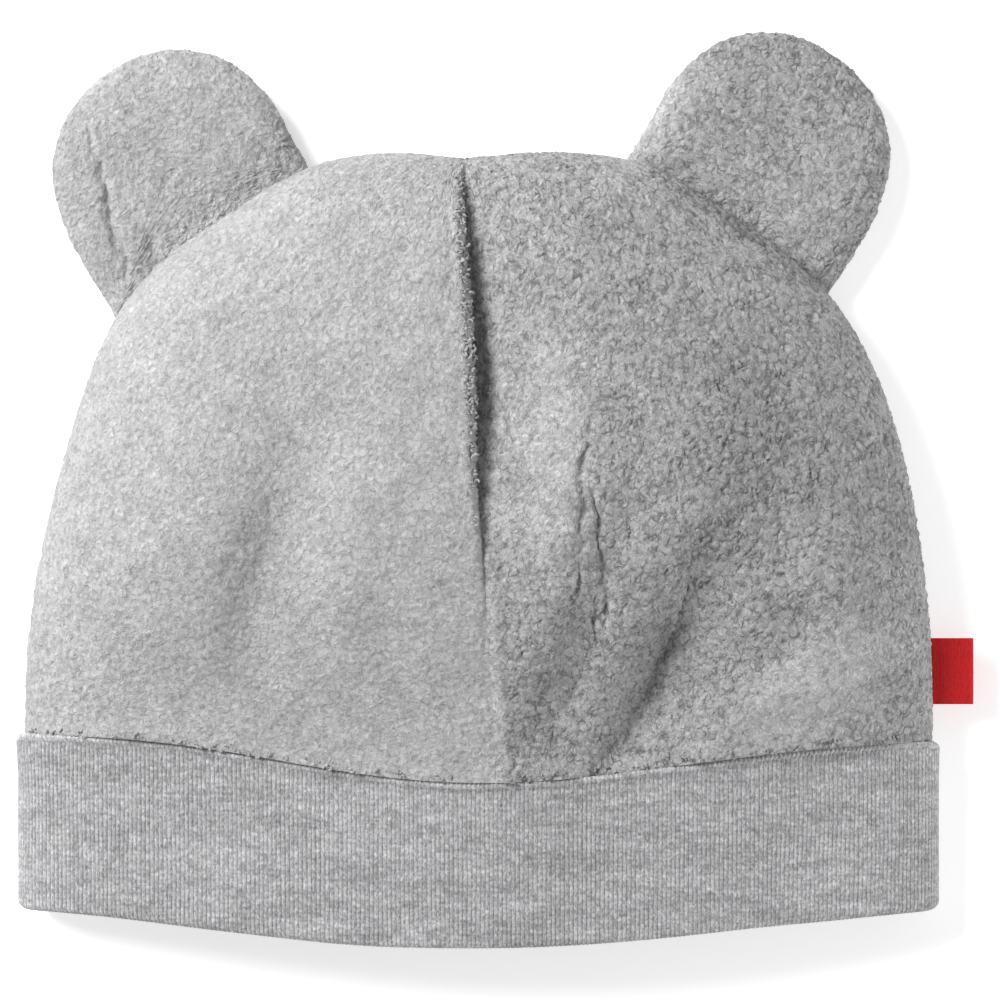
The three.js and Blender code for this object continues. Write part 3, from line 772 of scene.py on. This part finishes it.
class Nodes:
    """Small helper for a material's node tree."""

    def __init__(self, name):
        self.material = bpy.data.materials.new(name)
        self.material.use_nodes = True
        self.tree = self.material.node_tree
        self.shader = self.tree.nodes["Principled BSDF"]

    def add(self, kind, settings=None, **inputs):
        node = self.tree.nodes.new(kind)
        for key, value in (settings or {}).items():
            setattr(node, key, value)
        for key, value in inputs.items():
            self.set(node.inputs[int(key[1:]) if key[0] == "i" and key[1:].isdigit() else key], value)
        return node

    def set(self, socket, value):
        if isinstance(value, bpy.types.NodeSocket):
            self.tree.links.new(value, socket)
        else:
            socket.default_value = value

    def math(self, operation, a, b=0.0):
        return self.add("ShaderNodeMath", {"operation": operation}, i0=a, i1=b).outputs[0]

    def product(self, first, *rest):
        for factor in rest:
            first = self.math("MULTIPLY", first, factor)
        return first

    def attribute(self, name):
        return self.add("ShaderNodeAttribute", {"attribute_name": name}).outputs["Fac"]

    def ranged(self, value, low, high, to_low=0.0, to_high=1.0):
        return self.add("ShaderNodeMapRange", i0=value, i1=low, i2=high, i3=to_low, i4=to_high).outputs[0]

    def scaled_place(self, scale):
        """Object coordinates times a scale in each direction, so that 1 is one millimetre."""
        where = self.add("ShaderNodeTexCoord").outputs["Object"]
        return self.add("ShaderNodeMapping", Vector=where, Scale=[1000 * s for s in scale]).outputs[0]

    def bent(self, place, scale, amount):
        """The place moved about by noise, so that patterns on it wander."""
        noise = self.add("ShaderNodeTexNoise", Vector=place, Scale=scale, Detail=1.0)
        shift = self.times(noise.outputs["Color"], amount)
        return self.add("ShaderNodeVectorMath", {"operation": "ADD"}, i0=place, i1=shift).outputs[0]

    def noise(self, place, scale, detail=2.0, roughness=0.5):
        values = {"Scale": scale, "Detail": detail, "Roughness": roughness}
        return self.add("ShaderNodeTexNoise", Vector=place, **values).outputs[0]

    def mottling(self, scale, detail, spread):
        """A factor about 1 that changes over 1 / scale millimetres in each direction."""
        noise = self.noise(self.scaled_place(scale), 1.0, detail, 0.6)
        return self.ranged(noise, 0.3, 0.7, 1 - spread, 1 + spread)

    def ramp(self, value, stops):
        node = self.add("ShaderNodeValToRGB", Fac=value)
        elements = node.color_ramp.elements
        while len(elements) < len(stops):
            elements.new(0.5)
        for element, (place, grey, blue) in zip(elements, stops):
            element.position = place
            element.color = (grey, grey, grey * blue, 1)
        return node.outputs[0]

    def times(self, colour, factor):
        return self.add("ShaderNodeVectorMath", {"operation": "SCALE"}, i0=colour, Scale=factor).outputs[0]

    def finish(self, colour, normal, roughness, specular, sheen=0.0):
        values = {
            "Base Color": colour,
            "Normal": normal,
            "Roughness": roughness,
            "Specular IOR Level": specular,
            "Sheen Weight": sheen,
            "Sheen Roughness": SHEEN_ROUGHNESS,
        }
        for key, value in values.items():
            self.set(self.shader.inputs[key], value)
        return self.material

    def relief(self, *layers):
        """A bump from layers of (value, height in millimetres)."""
        height = self.product(*layers[0])
        for layer in layers[1:]:
            height = self.math("ADD", height, self.product(*layer))
        return self.bump(height, 1.0)

    def bump(self, height, distance, strength=1.0):
        values = {"Strength": strength, "Distance": distance / 1000, "Height": height}
        return self.add("ShaderNodeBump", **values).outputs[0]


def fleece_material(name, tone, crack_painted_shade, speckle):
    n = Nodes(name)
    place = n.scaled_place((1, 1, 1))
    pile = n.attribute("pile")
    # The factor of painted light and shade from the patches.
    painted_light = n.attribute("painted_light")
    bent = n.bent(n.bent(place, 0.75, 1.5), 2.2, 0.55)
    worm = n.noise(bent, 1.0, 3.0, 0.6)
    fibre = n.noise(bent, 2.7, 3.0, 0.65)
    squashed = n.add("ShaderNodeMapping", Vector=bent, Scale=(1.0, 0.72, 1.0)).outputs[0]
    cells = n.add("ShaderNodeTexVoronoi", {"feature": "DISTANCE_TO_EDGE"}, Vector=squashed, Scale=0.65)
    crack = n.ranged(cells.outputs["Distance"], 0.0, 0.15)
    shown = n.ranged(n.noise(place, 0.62, 2.0), 0.44, 0.58, 0.1, 1.0)
    # Cracks show less where the painted light is brighter.
    shown = n.product(shown, n.ranged(painted_light, 1.0, 1.2, 1.0, 0.25))
    crack = n.math("SUBTRACT", 1.0, n.product(n.math("SUBTRACT", 1.0, crack), shown))
    curl = n.ranged(worm, 0.32, 0.66)
    # Painted shade: the colour darkens where the pile sinks low and in the cracks between curls.
    sunk = n.ranged(pile, 0.02, 0.5, mix(crack_painted_shade, 1, 0.3), 1.0)
    gap = n.product(sunk, n.ranged(crack, 0, 1, crack_painted_shade, 1))
    colour = n.ramp(curl, [(0.0, 0.44, 1.02), (0.4, 0.55, 1.015), (0.7, 0.61, 1.01), (1.0, 0.7, 1.0)])
    heather = n.ranged(n.noise(place, 0.14, 3.0, 0.6), 0.35, 0.65, 0.91, 1.09)
    speck = n.ranged(fibre, 0.3, 0.7, 1 - speckle, 1 + speckle)
    colour = n.times(n.times(colour, n.product(heather, speck, gap, painted_light)), tone)
    # The cracks' bump is deeper where their painted shade is darker.
    normal = n.relief((fibre, 0.16), (curl, 0.19), (crack, 0.3 * (1 - crack_painted_shade)))
    return n.finish(colour, normal, roughness=0.95, specular=0.15, sheen=0.12)


def jersey_material(name):
    n = Nodes(name)
    place = n.scaled_place((1, 1, 1))
    up = n.add("ShaderNodeSeparateXYZ", Vector=place).outputs["Y"]
    wander = n.noise(n.scaled_place((0.25, 0.5, 0.25)), 1.0)
    course = n.math("ADD", n.math("DIVIDE", up, COURSE_PITCH), wander)
    spot = n.add("ShaderNodeCombineXYZ", X=n.attribute("wale_number"), Y=course).outputs[0]
    values = {"Vector": spot, "Scale": 1.0, "Randomness": 0.75}
    stitches = n.add("ShaderNodeTexVoronoi", {"voronoi_dimensions": "2D"}, **values)
    chance = n.add("ShaderNodeSeparateColor", Color=stitches.outputs["Color"]).outputs[0]
    yarn = n.ranged(chance, 0, 1, 0.86, 1.14)
    bead = n.ranged(stitches.outputs["Distance"], 0.05, 0.75, 1.06, 0.86)
    mottled = [n.mottling(**row) for row in JERSEY_MOTTLING]
    # Painted shade in the grooves between the wales, and a painted highlight on the lip.
    painted_rib_and_lip_light = n.ranged(n.attribute("lip"), 0.0, 1.0, n.ranged(n.attribute("wale"), 0.0, 0.45, 0.38, 1.0), 1.12)
    shade = n.product(painted_rib_and_lip_light, yarn, bead, *mottled, n.attribute("painted_light"), 0.5)
    colour = n.ramp(shade, [(0.0, 0.0, 1.02), (1.0, 0.69, 1.02)])
    normal = n.relief((bead, 0.14), (n.noise(place, 3.5, 1.0, 0.5), 0.05))
    return n.finish(colour, normal, roughness=0.9, specular=0.2, sheen=0.1)


def label_material(name):
    n = Nodes(name)
    values = {"Vector": n.scaled_place((1, 1, 1)), "Scale": 1.1, "Distortion": 0.3}
    weave = n.add("ShaderNodeTexWave", {"bands_direction": "X"}, **values)
    thread = n.noise(n.scaled_place((3.5, 0.8, 3.5)), 1.0, 2.0, 0.5)
    colour = n.times(LABEL_RED, n.ranged(thread, 0.3, 0.7, 0.8, 1.2))
    normal = n.bump(weave.outputs["Fac"], distance=0.05, strength=0.5)
    return n.finish(colour, normal, roughness=0.7, specular=0.2)


# Pieces.


def crown_panel(side, is_front, material):
    name = SIDE_NAMES[side]
    outer = panel_grid(side, is_front, 0.0, FRONT_CELLS if is_front else BACK_CELLS)
    inner = panel_grid(side, is_front, FLEECE_THICKNESS, INNER_CELLS)
    normals = grid_normals(outer)
    # Near the top point the rows are too short for normals of their own.
    normals[-3:] = normals[-4].mean(axis=0)
    across = distance_from_ends(outer, 1)
    from_middle, from_side = across if (side > 0) == is_front else across[::-1]
    from_band, from_top = distance_from_ends(outer, 0)
    v = np.linspace(0, 1, len(outer))[:, None]
    by_ear = smooth((EAR_SPAN["reach"] - np.abs(v - EAR_SPAN["middle"])) / EAR_SPAN["fade"])
    ease = np.minimum(from_middle, np.minimum(from_band, from_top)) / PILE_EDGE
    ease = np.minimum(ease, from_side / mix(PILE_EDGE, EAR_CLEARANCE, by_ear))
    if side < 0:
        lip = bell(from_middle - FLUFF["lip_at"], FLUFF["lip_width"])
        fluff = 1 + FLUFF["lip"] * is_front * lip * SEAM_FOLD(outer[..., 1] / CROWN_HEIGHT)
    else:
        # The pile lies lower where the patches of painted light are brighter.
        painted_lightness = painted_light_tone(outer, PAINTED_LIGHT) - 1
        fluff = np.clip(1 - FLUFF["by_painted_light"] * painted_lightness, FLUFF["least"], FLUFF["most"])
    raised, share = piled(outer, normals, ease, PILE[name], 100 + side + 3 * is_front, fluff)
    node = f"crown_{FACE_NAMES[is_front]}_{name}"
    shell(f"fleece_{node}", raised, inner, {"pile": (share, PILE_INSIDE)}, PAINTED_LIGHT, material, node)


def ear_outline():
    """An ear's reach by angle, in radians and millimetres."""
    turn = [math.radians(row["angle"]) for row in EAR_OUTLINE]
    reach = [row["reach"] * EAR_RADIUS for row in EAR_OUTLINE]
    points = [[r * math.sin(t), r * math.cos(t)] for t, r in zip(turn, reach)]
    ring = catmull_rom(points, EAR_CURVE_STEPS, closed=True)
    angle = np.arctan2(ring[:, 0], ring[:, 1])
    order = np.argsort(angle)
    return angle[order], np.hypot(ring[:, 0], ring[:, 1])[order]


EAR_ANGLE, EAR_REACH = ear_outline()


def ear_place(ear):
    curve = SIDE_SEAMS[ear["side"]]
    step = 0.002
    shares = ear["along"] + np.array([-step, 0.0, step])
    before, seat, after = resampled(curve, shares)
    tangent = (after - before) / np.linalg.norm(after - before)
    away = np.array([ear["side"] * abs(tangent[1]), abs(tangent[0])])
    return seat + away * ear["stand_off"], away


def ear_grid(ear, is_front, inset, cells):
    """A square grid bent to a disc, which ends at the ear's rim or the crown's seam."""
    middle, away = ear_place(ear)
    inner_side = np.array([away[1], -away[0]]) * (1 if ear["side"] < 0 else -1)
    gap = seam_gap(inset)
    turns = np.linspace(-np.pi, np.pi, EAR_RAYS)
    reaches = np.interp(turns, EAR_ANGLE, EAR_REACH, period=2 * np.pi) - inset
    rays = np.sin(turns)[:, None] * inner_side + np.cos(turns)[:, None] * away
    samples = np.linspace(0, 1, EAR_SAMPLES) * reaches[:, None]
    spots = middle + rays[:, None, :] * samples[..., None]
    distance, outline = polar_of(spots[..., 0], spots[..., 1])
    outside = np.logical_and.accumulate(distance > outline + gap, axis=1)
    stops = np.max(np.where(outside, samples, 0), axis=1)
    line = np.linspace(-1, 1, cells + 1)
    u, v = np.meshgrid(line, line)
    ring = np.maximum(np.abs(u), np.abs(v))
    squeeze = np.sqrt(u * u + v * v - u * u * v * v) / np.maximum(np.hypot(u, v), 1e-9)
    turn = np.arctan2(u * np.sqrt(1 - v * v / 2), v * np.sqrt(1 - u * u / 2))
    share = np.clip(squeeze * np.hypot(u, v), 0, 1)
    share = np.where(ring > 0.999999, 1.0, share)
    reach = np.interp(turn, turns, reaches)
    r = np.sin(np.pi / 2 * share) if is_front else share
    r = mix(share, r, EAR_CROWDING) * np.interp(turn, turns, stops)
    plan = middle + r[..., None] * (np.sin(turn)[..., None] * inner_side + np.cos(turn)[..., None] * away)
    if is_front:
        root = np.cos(turn) * r + ear["stand_off"]
        dip = EAR_HOLLOW * bell(r / reach, EAR_HOLLOW_WIDTH) + EAR_ROOT_DIP * bell(root, EAR_ROOT_WIDTH)
        puff = EAR_PUFF - inset - dip
        if not inset:
            puff = puff + fine_relief(plan[..., 0], plan[..., 1], EAR_CREASES)
        height = EAR_SEAM_HEIGHT + gap / 2 + puff * dome_fall((r / reach) ** EAR_SHOULDER)
    else:
        rolled = roll_share(reach - r, EAR_EDGE_ROLL)
        height = mix(inset, EAR_SEAM_HEIGHT - gap / 2, rolled)
    points = np.concatenate([plan, height[..., None]], axis=-1)
    from_rim = np.interp(turn, turns, stops) - r + np.abs(height - EAR_SEAM_HEIGHT)
    flip = (ear["side"] < 0) == is_front
    return (points, from_rim) if flip else (points[:, ::-1], from_rim[:, ::-1])


def ear_layer(ear, is_front, material):
    outer, from_rim = ear_grid(ear, is_front, 0.0, EAR_FRONT_CELLS if is_front else EAR_BACK_CELLS)
    inner, _ = ear_grid(ear, is_front, FLEECE_THICKNESS, EAR_INNER_CELLS)
    salt = 200 + ear["side"] + 3 * is_front
    raised, share = piled(outer, grid_normals(outer), from_rim / PILE_EDGE, PILE[ear["name"]], salt)
    node = f"ear_{FACE_NAMES[is_front]}_{ear['name']}"
    shell(f"fleece_{node}", raised, inner, {"pile": (share, PILE_INSIDE)}, PAINTED_LIGHT, material, node)


def band_surface(share, down, beyond, inset, is_front):
    gap = SEAM_GAP if inset == BAND_THICKNESS else SHOWN_GAP
    top = band_seam_y(share, BAND_SEAM_SAG if is_front else 0.0) - gap / 2
    mouth = mouth_y(share, MOUTH_SAG if is_front else 0.0) + BAND_THICKNESS / 2
    width = BAND_CORNER["width"]
    corner = 1 - np.sqrt(1 - np.clip((np.abs(share) - (1 - width)) / width, 0, 1) ** 2)
    y = mix(top - BAND_CORNER["drop"] * corner, mouth + BAND_CORNER["rise"] * corner, down) - beyond
    edge = SIDE_SEAM_HEIGHT
    inset = np.where(inset < 0, inset * (1 - corner), inset)
    x = share * (BAND_HALF_WIDTH - inset)
    if is_front:
        rise = mix(BAND_SEAM_RISE, MOUTH_RISE, down)
        z = edge + (rise - inset - edge) * dome_fall(np.abs(share))
    else:
        rolled = roll_share((BAND_HALF_WIDTH - inset) * (1 - np.abs(share)), BAND_EDGE_ROLL)
        z = mix(inset, edge, rolled)
    return np.stack(np.broadcast_arrays(x, y, z), axis=-1)


def band_shares(is_front, count):
    """Shares across the band that space points evenly round its wall."""
    fine = -np.cos(np.pi * np.linspace(0, 1, 4000))
    line = band_surface(fine, 0.5, 0.0, 0.0, is_front)[:, [0, 2]]
    length = np.concatenate([[0], np.cumsum(np.linalg.norm(np.diff(line, axis=0), axis=1))])
    return np.interp(np.linspace(0, length[-1], count + 1), length, fine), length[-1]


def band_ring(counts, rows):
    """Points of the band's wall for profile rows of (down, beyond, inset), round front then back."""
    parts = []
    for is_front, count in zip((True, False), counts):
        share, _ = band_shares(is_front, count)
        share = share if is_front else share[::-1]
        down, beyond, inset = (np.array(column)[:, None] for column in zip(*rows))
        walls = [band_surface(share[:-1], d, b, i, is_front) for d, b, i in zip(down, beyond, inset)]
        parts.append(np.stack(walls))
    return np.concatenate(parts, axis=1)


def band(material):
    half = BAND_THICKNESS / 2
    down = np.linspace(0, 1, BAND_ROWS)
    turns = np.linspace(0, math.pi, BAND_FOLD_ROWS)[1:]
    fold = [(1.0, half * math.sin(a), half * (1 - math.cos(a))) for a in turns]
    lip = [(0.0, beyond, inset) for beyond, inset in BAND_LIP]
    outer_rows = [*lip, *[(d, 0.0, 0.0) for d in down[3:]], *fold]
    inner_rows = [(d, 0.0, BAND_THICKNESS) for d in np.linspace(0, 0.9, BAND_INNER_ROWS)]
    lengths = [band_shares(is_front, 10)[1] for is_front in (True, False)]
    wales = [round(length / WALE_PITCH) for length in lengths]
    steps = (BAND_STEPS_PER_WALE, BAND_BACK_STEPS_PER_WALE)
    counts = [count * step for count, step in zip(wales, steps)]
    outer = band_ring(counts, outer_rows)
    inner = band_ring([count // BAND_INNER_STEP for count in counts], inner_rows)
    phase = np.concatenate([np.arange(count) / step for count, step in zip(counts, steps)])
    closed = np.concatenate([outer, outer[:, :1]], axis=1)
    normals = -grid_normals(closed, wrap=True)[:, :-1]
    sway = WALE_SWAY["amount"] * value_noise(outer / np.array(WALE_SWAY["size"]), 5)
    wale = np.abs(np.sin(np.pi * (phase[None, :] + sway)))
    swell = BAND_SWELL["amount"] * value_noise(outer / np.array(BAND_SWELL["size"]), 7)
    front = outer[..., 2] > SIDE_SEAM_HEIGHT
    forms = swell + fine_relief(outer[..., 0], outer[..., 1], BAND_FORMS)
    lift = WALE_HEIGHT * (wale - WALE_LEVEL) + np.where(front, forms, 0.0)
    lift[1 : len(lip)] *= LIP_LIFT
    lift[0] = 0.0
    raised = outer + normals * lift[..., None]
    number = np.concatenate([phase[: counts[0]], wales[0] + phase[counts[0] :]])
    # The lip rows get a painted highlight in the jersey's colour.
    lip_painted_highlight = np.zeros_like(wale)
    lip_painted_highlight[: len(lip) - 1] = 1.0
    values = {"lip": (lip_painted_highlight, 0.0), "wale": (wale, WALE_INSIDE), "wale_number": (number + sway, 0.0)}
    shell(
        "jersey_band", raised, inner, values, BAND_PAINTED_LIGHT, material, "band", wrap=True, flipped=True
    )


def label(material):
    radius = LABEL_TAPE + LABEL_FOLD / 2
    seam = resampled(SIDE_SEAMS[1], np.linspace(0, 1, SEAM_SAMPLES))
    near = seam[np.abs(seam[:, 1] - LABEL_UP) <= LABEL_WIDTH / 2]
    bend = near[:, 0].max() + LABEL_REACH - radius
    turn = np.linspace(-np.pi / 2, np.pi / 2, LABEL_POINTS["turn"])[1:-1]
    along = np.linspace(0, 1, LABEL_POINTS["along"])
    rows = np.linspace(0, 1, LABEL_POINTS["rows"])
    y = LABEL_UP + LABEL_WIDTH * (rows - 0.5)
    root = np.interp(y, seam[:100, 1], seam[:100, 0]) + SEAM_GAP

    def loop(r):
        x = [*along, *(1 + 0 * turn), *(1 - along)]
        out = [*(0 * along), *(r * np.cos(turn)), *(0 * along)]
        z = [*(-r + 0 * along), *(r * np.sin(turn)), *(r + 0 * along)]
        return np.array(x), np.array(out), np.array(z)

    def sheet(r):
        x, out, z = loop(r)
        grid_x = mix(root[:, None], bend, x) + out
        grid_z = SIDE_SEAM_HEIGHT + z + LABEL_WAVE * np.sin(np.pi * rows)[:, None] * x
        return np.stack([grid_x, np.broadcast_to(y[:, None], grid_x.shape), grid_z], axis=-1)

    outer = sheet(radius)[:, ::-1]
    inner = sheet(LABEL_FOLD / 2)[:, ::-1]
    shell("label_tape", outer, inner, {}, None, material, "side_label", flipped=True)


def chances(count, salt, columns=3):
    """Columns of random numbers from 0 to 1."""
    number = np.stack([np.arange(count), np.zeros(count), np.zeros(count)], axis=-1)
    return [lattice_random(number, salt + k) for k in range(columns)]


def tufts(name, roots, material, salt):
    """Small curled tufts of pile, arcs of a thin tube, one at each root."""
    count, steps, sides = len(roots), TUFT["steps"], TUFT["sides"]
    chance = [c[:, None, None] for c in chances(count, salt, 8)]
    e1 = np.concatenate([c - 0.5 for c in chance[:3]], axis=-1)[:, 0]
    e3 = np.concatenate([c - 0.5 for c in chance[3:6]], axis=-1)[:, 0]
    e1 = e1 / np.linalg.norm(e1, axis=1, keepdims=True)
    e3 = np.cross(e1, e3)
    e3 = e3 / np.linalg.norm(e3, axis=1, keepdims=True)
    e2 = np.cross(e3, e1)
    along = np.linspace(0, 1, steps)[None, :, None]
    angle = along * mix(*TUFT_TURN, chance[6])
    radius = mix(TUFT["least"], TUFT["most"], chance[7]) * (1 - TUFT_TAPER * along)
    tube = TUFT["thickness"] / 2 * np.sqrt(np.clip(1 - (2 * along - 1) ** 4, 0.02, 1))
    radial = np.cos(angle) * e1[:, None] + np.sin(angle) * e2[:, None]
    around = np.linspace(0, 2 * np.pi, sides, endpoint=False)[None, None, :, None]
    out = np.cos(around) * radial[:, :, None] + np.sin(around) * e3[:, None, None]
    points = roots[:, None, None] + (radius * radial)[:, :, None] + tube[..., None] * out
    ids = np.arange(count * steps * sides).reshape(count, steps, sides)
    ring = np.concatenate([ids, ids[..., :1]], axis=-1)
    a, b, c, d = ring[:, :-1, :-1], ring[:, 1:, :-1], ring[:, 1:, 1:], ring[:, :-1, 1:]
    quads = np.stack([k.ravel() for k in (a, b, c, d)], axis=-1)[:, ::-1]
    caps = []
    for first, last in zip(ids[:, 0], ids[:, -1]):
        caps += [(first[0], first[k + 1], first[k]) for k in range(1, sides - 1)]
        caps += [(last[0], last[k], last[k + 1]) for k in range(1, sides - 1)]
    # The tufts get no painted light or shade.
    values = {"pile": np.ones(points.size // 3), "painted_light": np.ones(points.size // 3)}
    build(name, points.reshape(-1, 3), [quads], caps, values, material, None)


def fold_tufts(material):
    """Tufts along the lip of the fold."""
    up, aside, rise = chances(FOLD_TUFTS["count"], 300)
    y = CROWN_HEIGHT * mix(*FOLD_TUFTS["up"], up)
    out = mix(*FOLD_TUFTS["aside"], aside)
    x = middle_seam_x(y) - out
    lip_top = crown_front_height(middle_seam_x(y) - FOLD_LIP_WIDTH, y, 0.0)
    z = lip_top + mix(*FOLD_TUFTS["rise"], rise) - 1.2 * bell(out + 0.4, 1.0)
    keep = SEAM_FOLD(y / CROWN_HEIGHT) > 0.25 + 0.6 * np.abs(2 * rise - 1)
    tufts("fleece_fold_tufts", np.stack([x, y, z], axis=-1)[keep], material, 310)


def band_tufts(name, side, material):
    """Tufts of the crown's pile where it meets the band."""
    across, above, rise = chances(BAND_TUFTS["count"], 320 + side)
    x = side * CROWN_HALF_WIDTH * mix(*BAND_TUFTS["across"], across)
    y = band_seam_y(x / CROWN_HALF_WIDTH, BAND_SEAM_SAG) + mix(*BAND_TUFTS["above"], above)
    z = crown_front_height(x, y, 0.0) + mix(*BAND_TUFTS["rise"], rise)
    tufts(f"fleece_band_tufts_{name}", np.stack([x, y, z], axis=-1), material, 330 + side)


# Light, floor and camera.

PIXEL = 0.2061  # millimetres for each pixel of the photograph at the band's height
VIEW_MIDDLE = (4.43, 48.0)
CAMERA_HEIGHT = 1000.0
SCALE_HEIGHT = 7.0
SENSOR_WIDTH = 36.0
FLOOR = {"half": 3.0, "drop": 0.0005, "tone": 0.93, "glow": 0.365}
SKY_STRENGTH = 0.42
AIM = (0, 0, 0.01)
LIGHTS = [
    {"name": "key", "place": (-0.82, 0.56, 0.74), "size": 0.65, "power": 22.0},
    {"name": "fill", "place": (1.0, -0.45, 0.32), "size": 0.6, "power": 8.0},
]


def floor():
    mesh = bpy.data.meshes.new("floor")
    half = FLOOR["half"]
    corners = [(-half, -half, 0), (half, -half, 0), (half, half, 0), (-half, half, 0)]
    mesh.from_pydata(corners, [], [(0, 1, 2, 3)])
    n = Nodes("floor_white")
    n.shader.inputs["Base Color"].default_value = (*[FLOOR["tone"]] * 3, 1)
    n.shader.inputs["Roughness"].default_value = 0.9
    n.shader.inputs["Emission Color"].default_value = (1, 1, 1, 1)
    n.shader.inputs["Emission Strength"].default_value = FLOOR["glow"]
    mesh.materials.append(n.material)
    put("floor", mesh, (0, 0, -FLOOR["drop"]))


def area_light(name, place, size, power):
    data = bpy.data.lights.new(name, "AREA")
    data.shape = "DISK"
    data.size = size
    data.energy = power
    direction = Vector(AIM) - Vector(place)
    put(name, data, place).rotation_euler = direction.to_track_quat("-Z", "Y").to_euler()


def studio():
    world = bpy.data.worlds.new("studio")
    bpy.context.scene.world = world
    world.use_nodes = True
    sky = world.node_tree.nodes["Background"]
    sky.inputs["Color"].default_value = (1, 1, 1, 1)
    sky.inputs["Strength"].default_value = SKY_STRENGTH
    for light in LIGHTS:
        area_light(**light)
    view = bpy.context.scene.view_settings
    view.view_transform = "Standard"
    view.look = "None"


def camera():
    data = bpy.data.cameras.new("camera")
    data.sensor_width = SENSOR_WIDTH
    data.lens = SENSOR_WIDTH * (CAMERA_HEIGHT - SCALE_HEIGHT) / (1000 * PIXEL)
    data.clip_end = 20.0
    bpy.context.scene.camera = put("camera", data, placed(np.array([*VIEW_MIDDLE, CAMERA_HEIGHT])))


camera()
floor()
studio()
# Lit and shaded copies of one fleece: the right copy is darker, as painted shade, with darker painted
# shade in its cracks.
FLEECE = {
    "left": fleece_material("fleece_grey_left_painted_light", tone=0.675, crack_painted_shade=0.8, speckle=0.18),
    "right": fleece_material("fleece_grey_right_painted_shade", tone=0.61, crack_painted_shade=0.52, speckle=0.28),
}
for ear_row in EARS:
    fleece = FLEECE[ear_row["name"]]
    crown_panel(ear_row["side"], True, fleece)
    crown_panel(ear_row["side"], False, fleece)
    ear_layer(ear_row, True, fleece)
    ear_layer(ear_row, False, fleece)
    band_tufts(ear_row["name"], ear_row["side"], fleece)
fold_tufts(FLEECE["left"])
band(jersey_material("jersey_grey"))
label(label_material("label_red"))
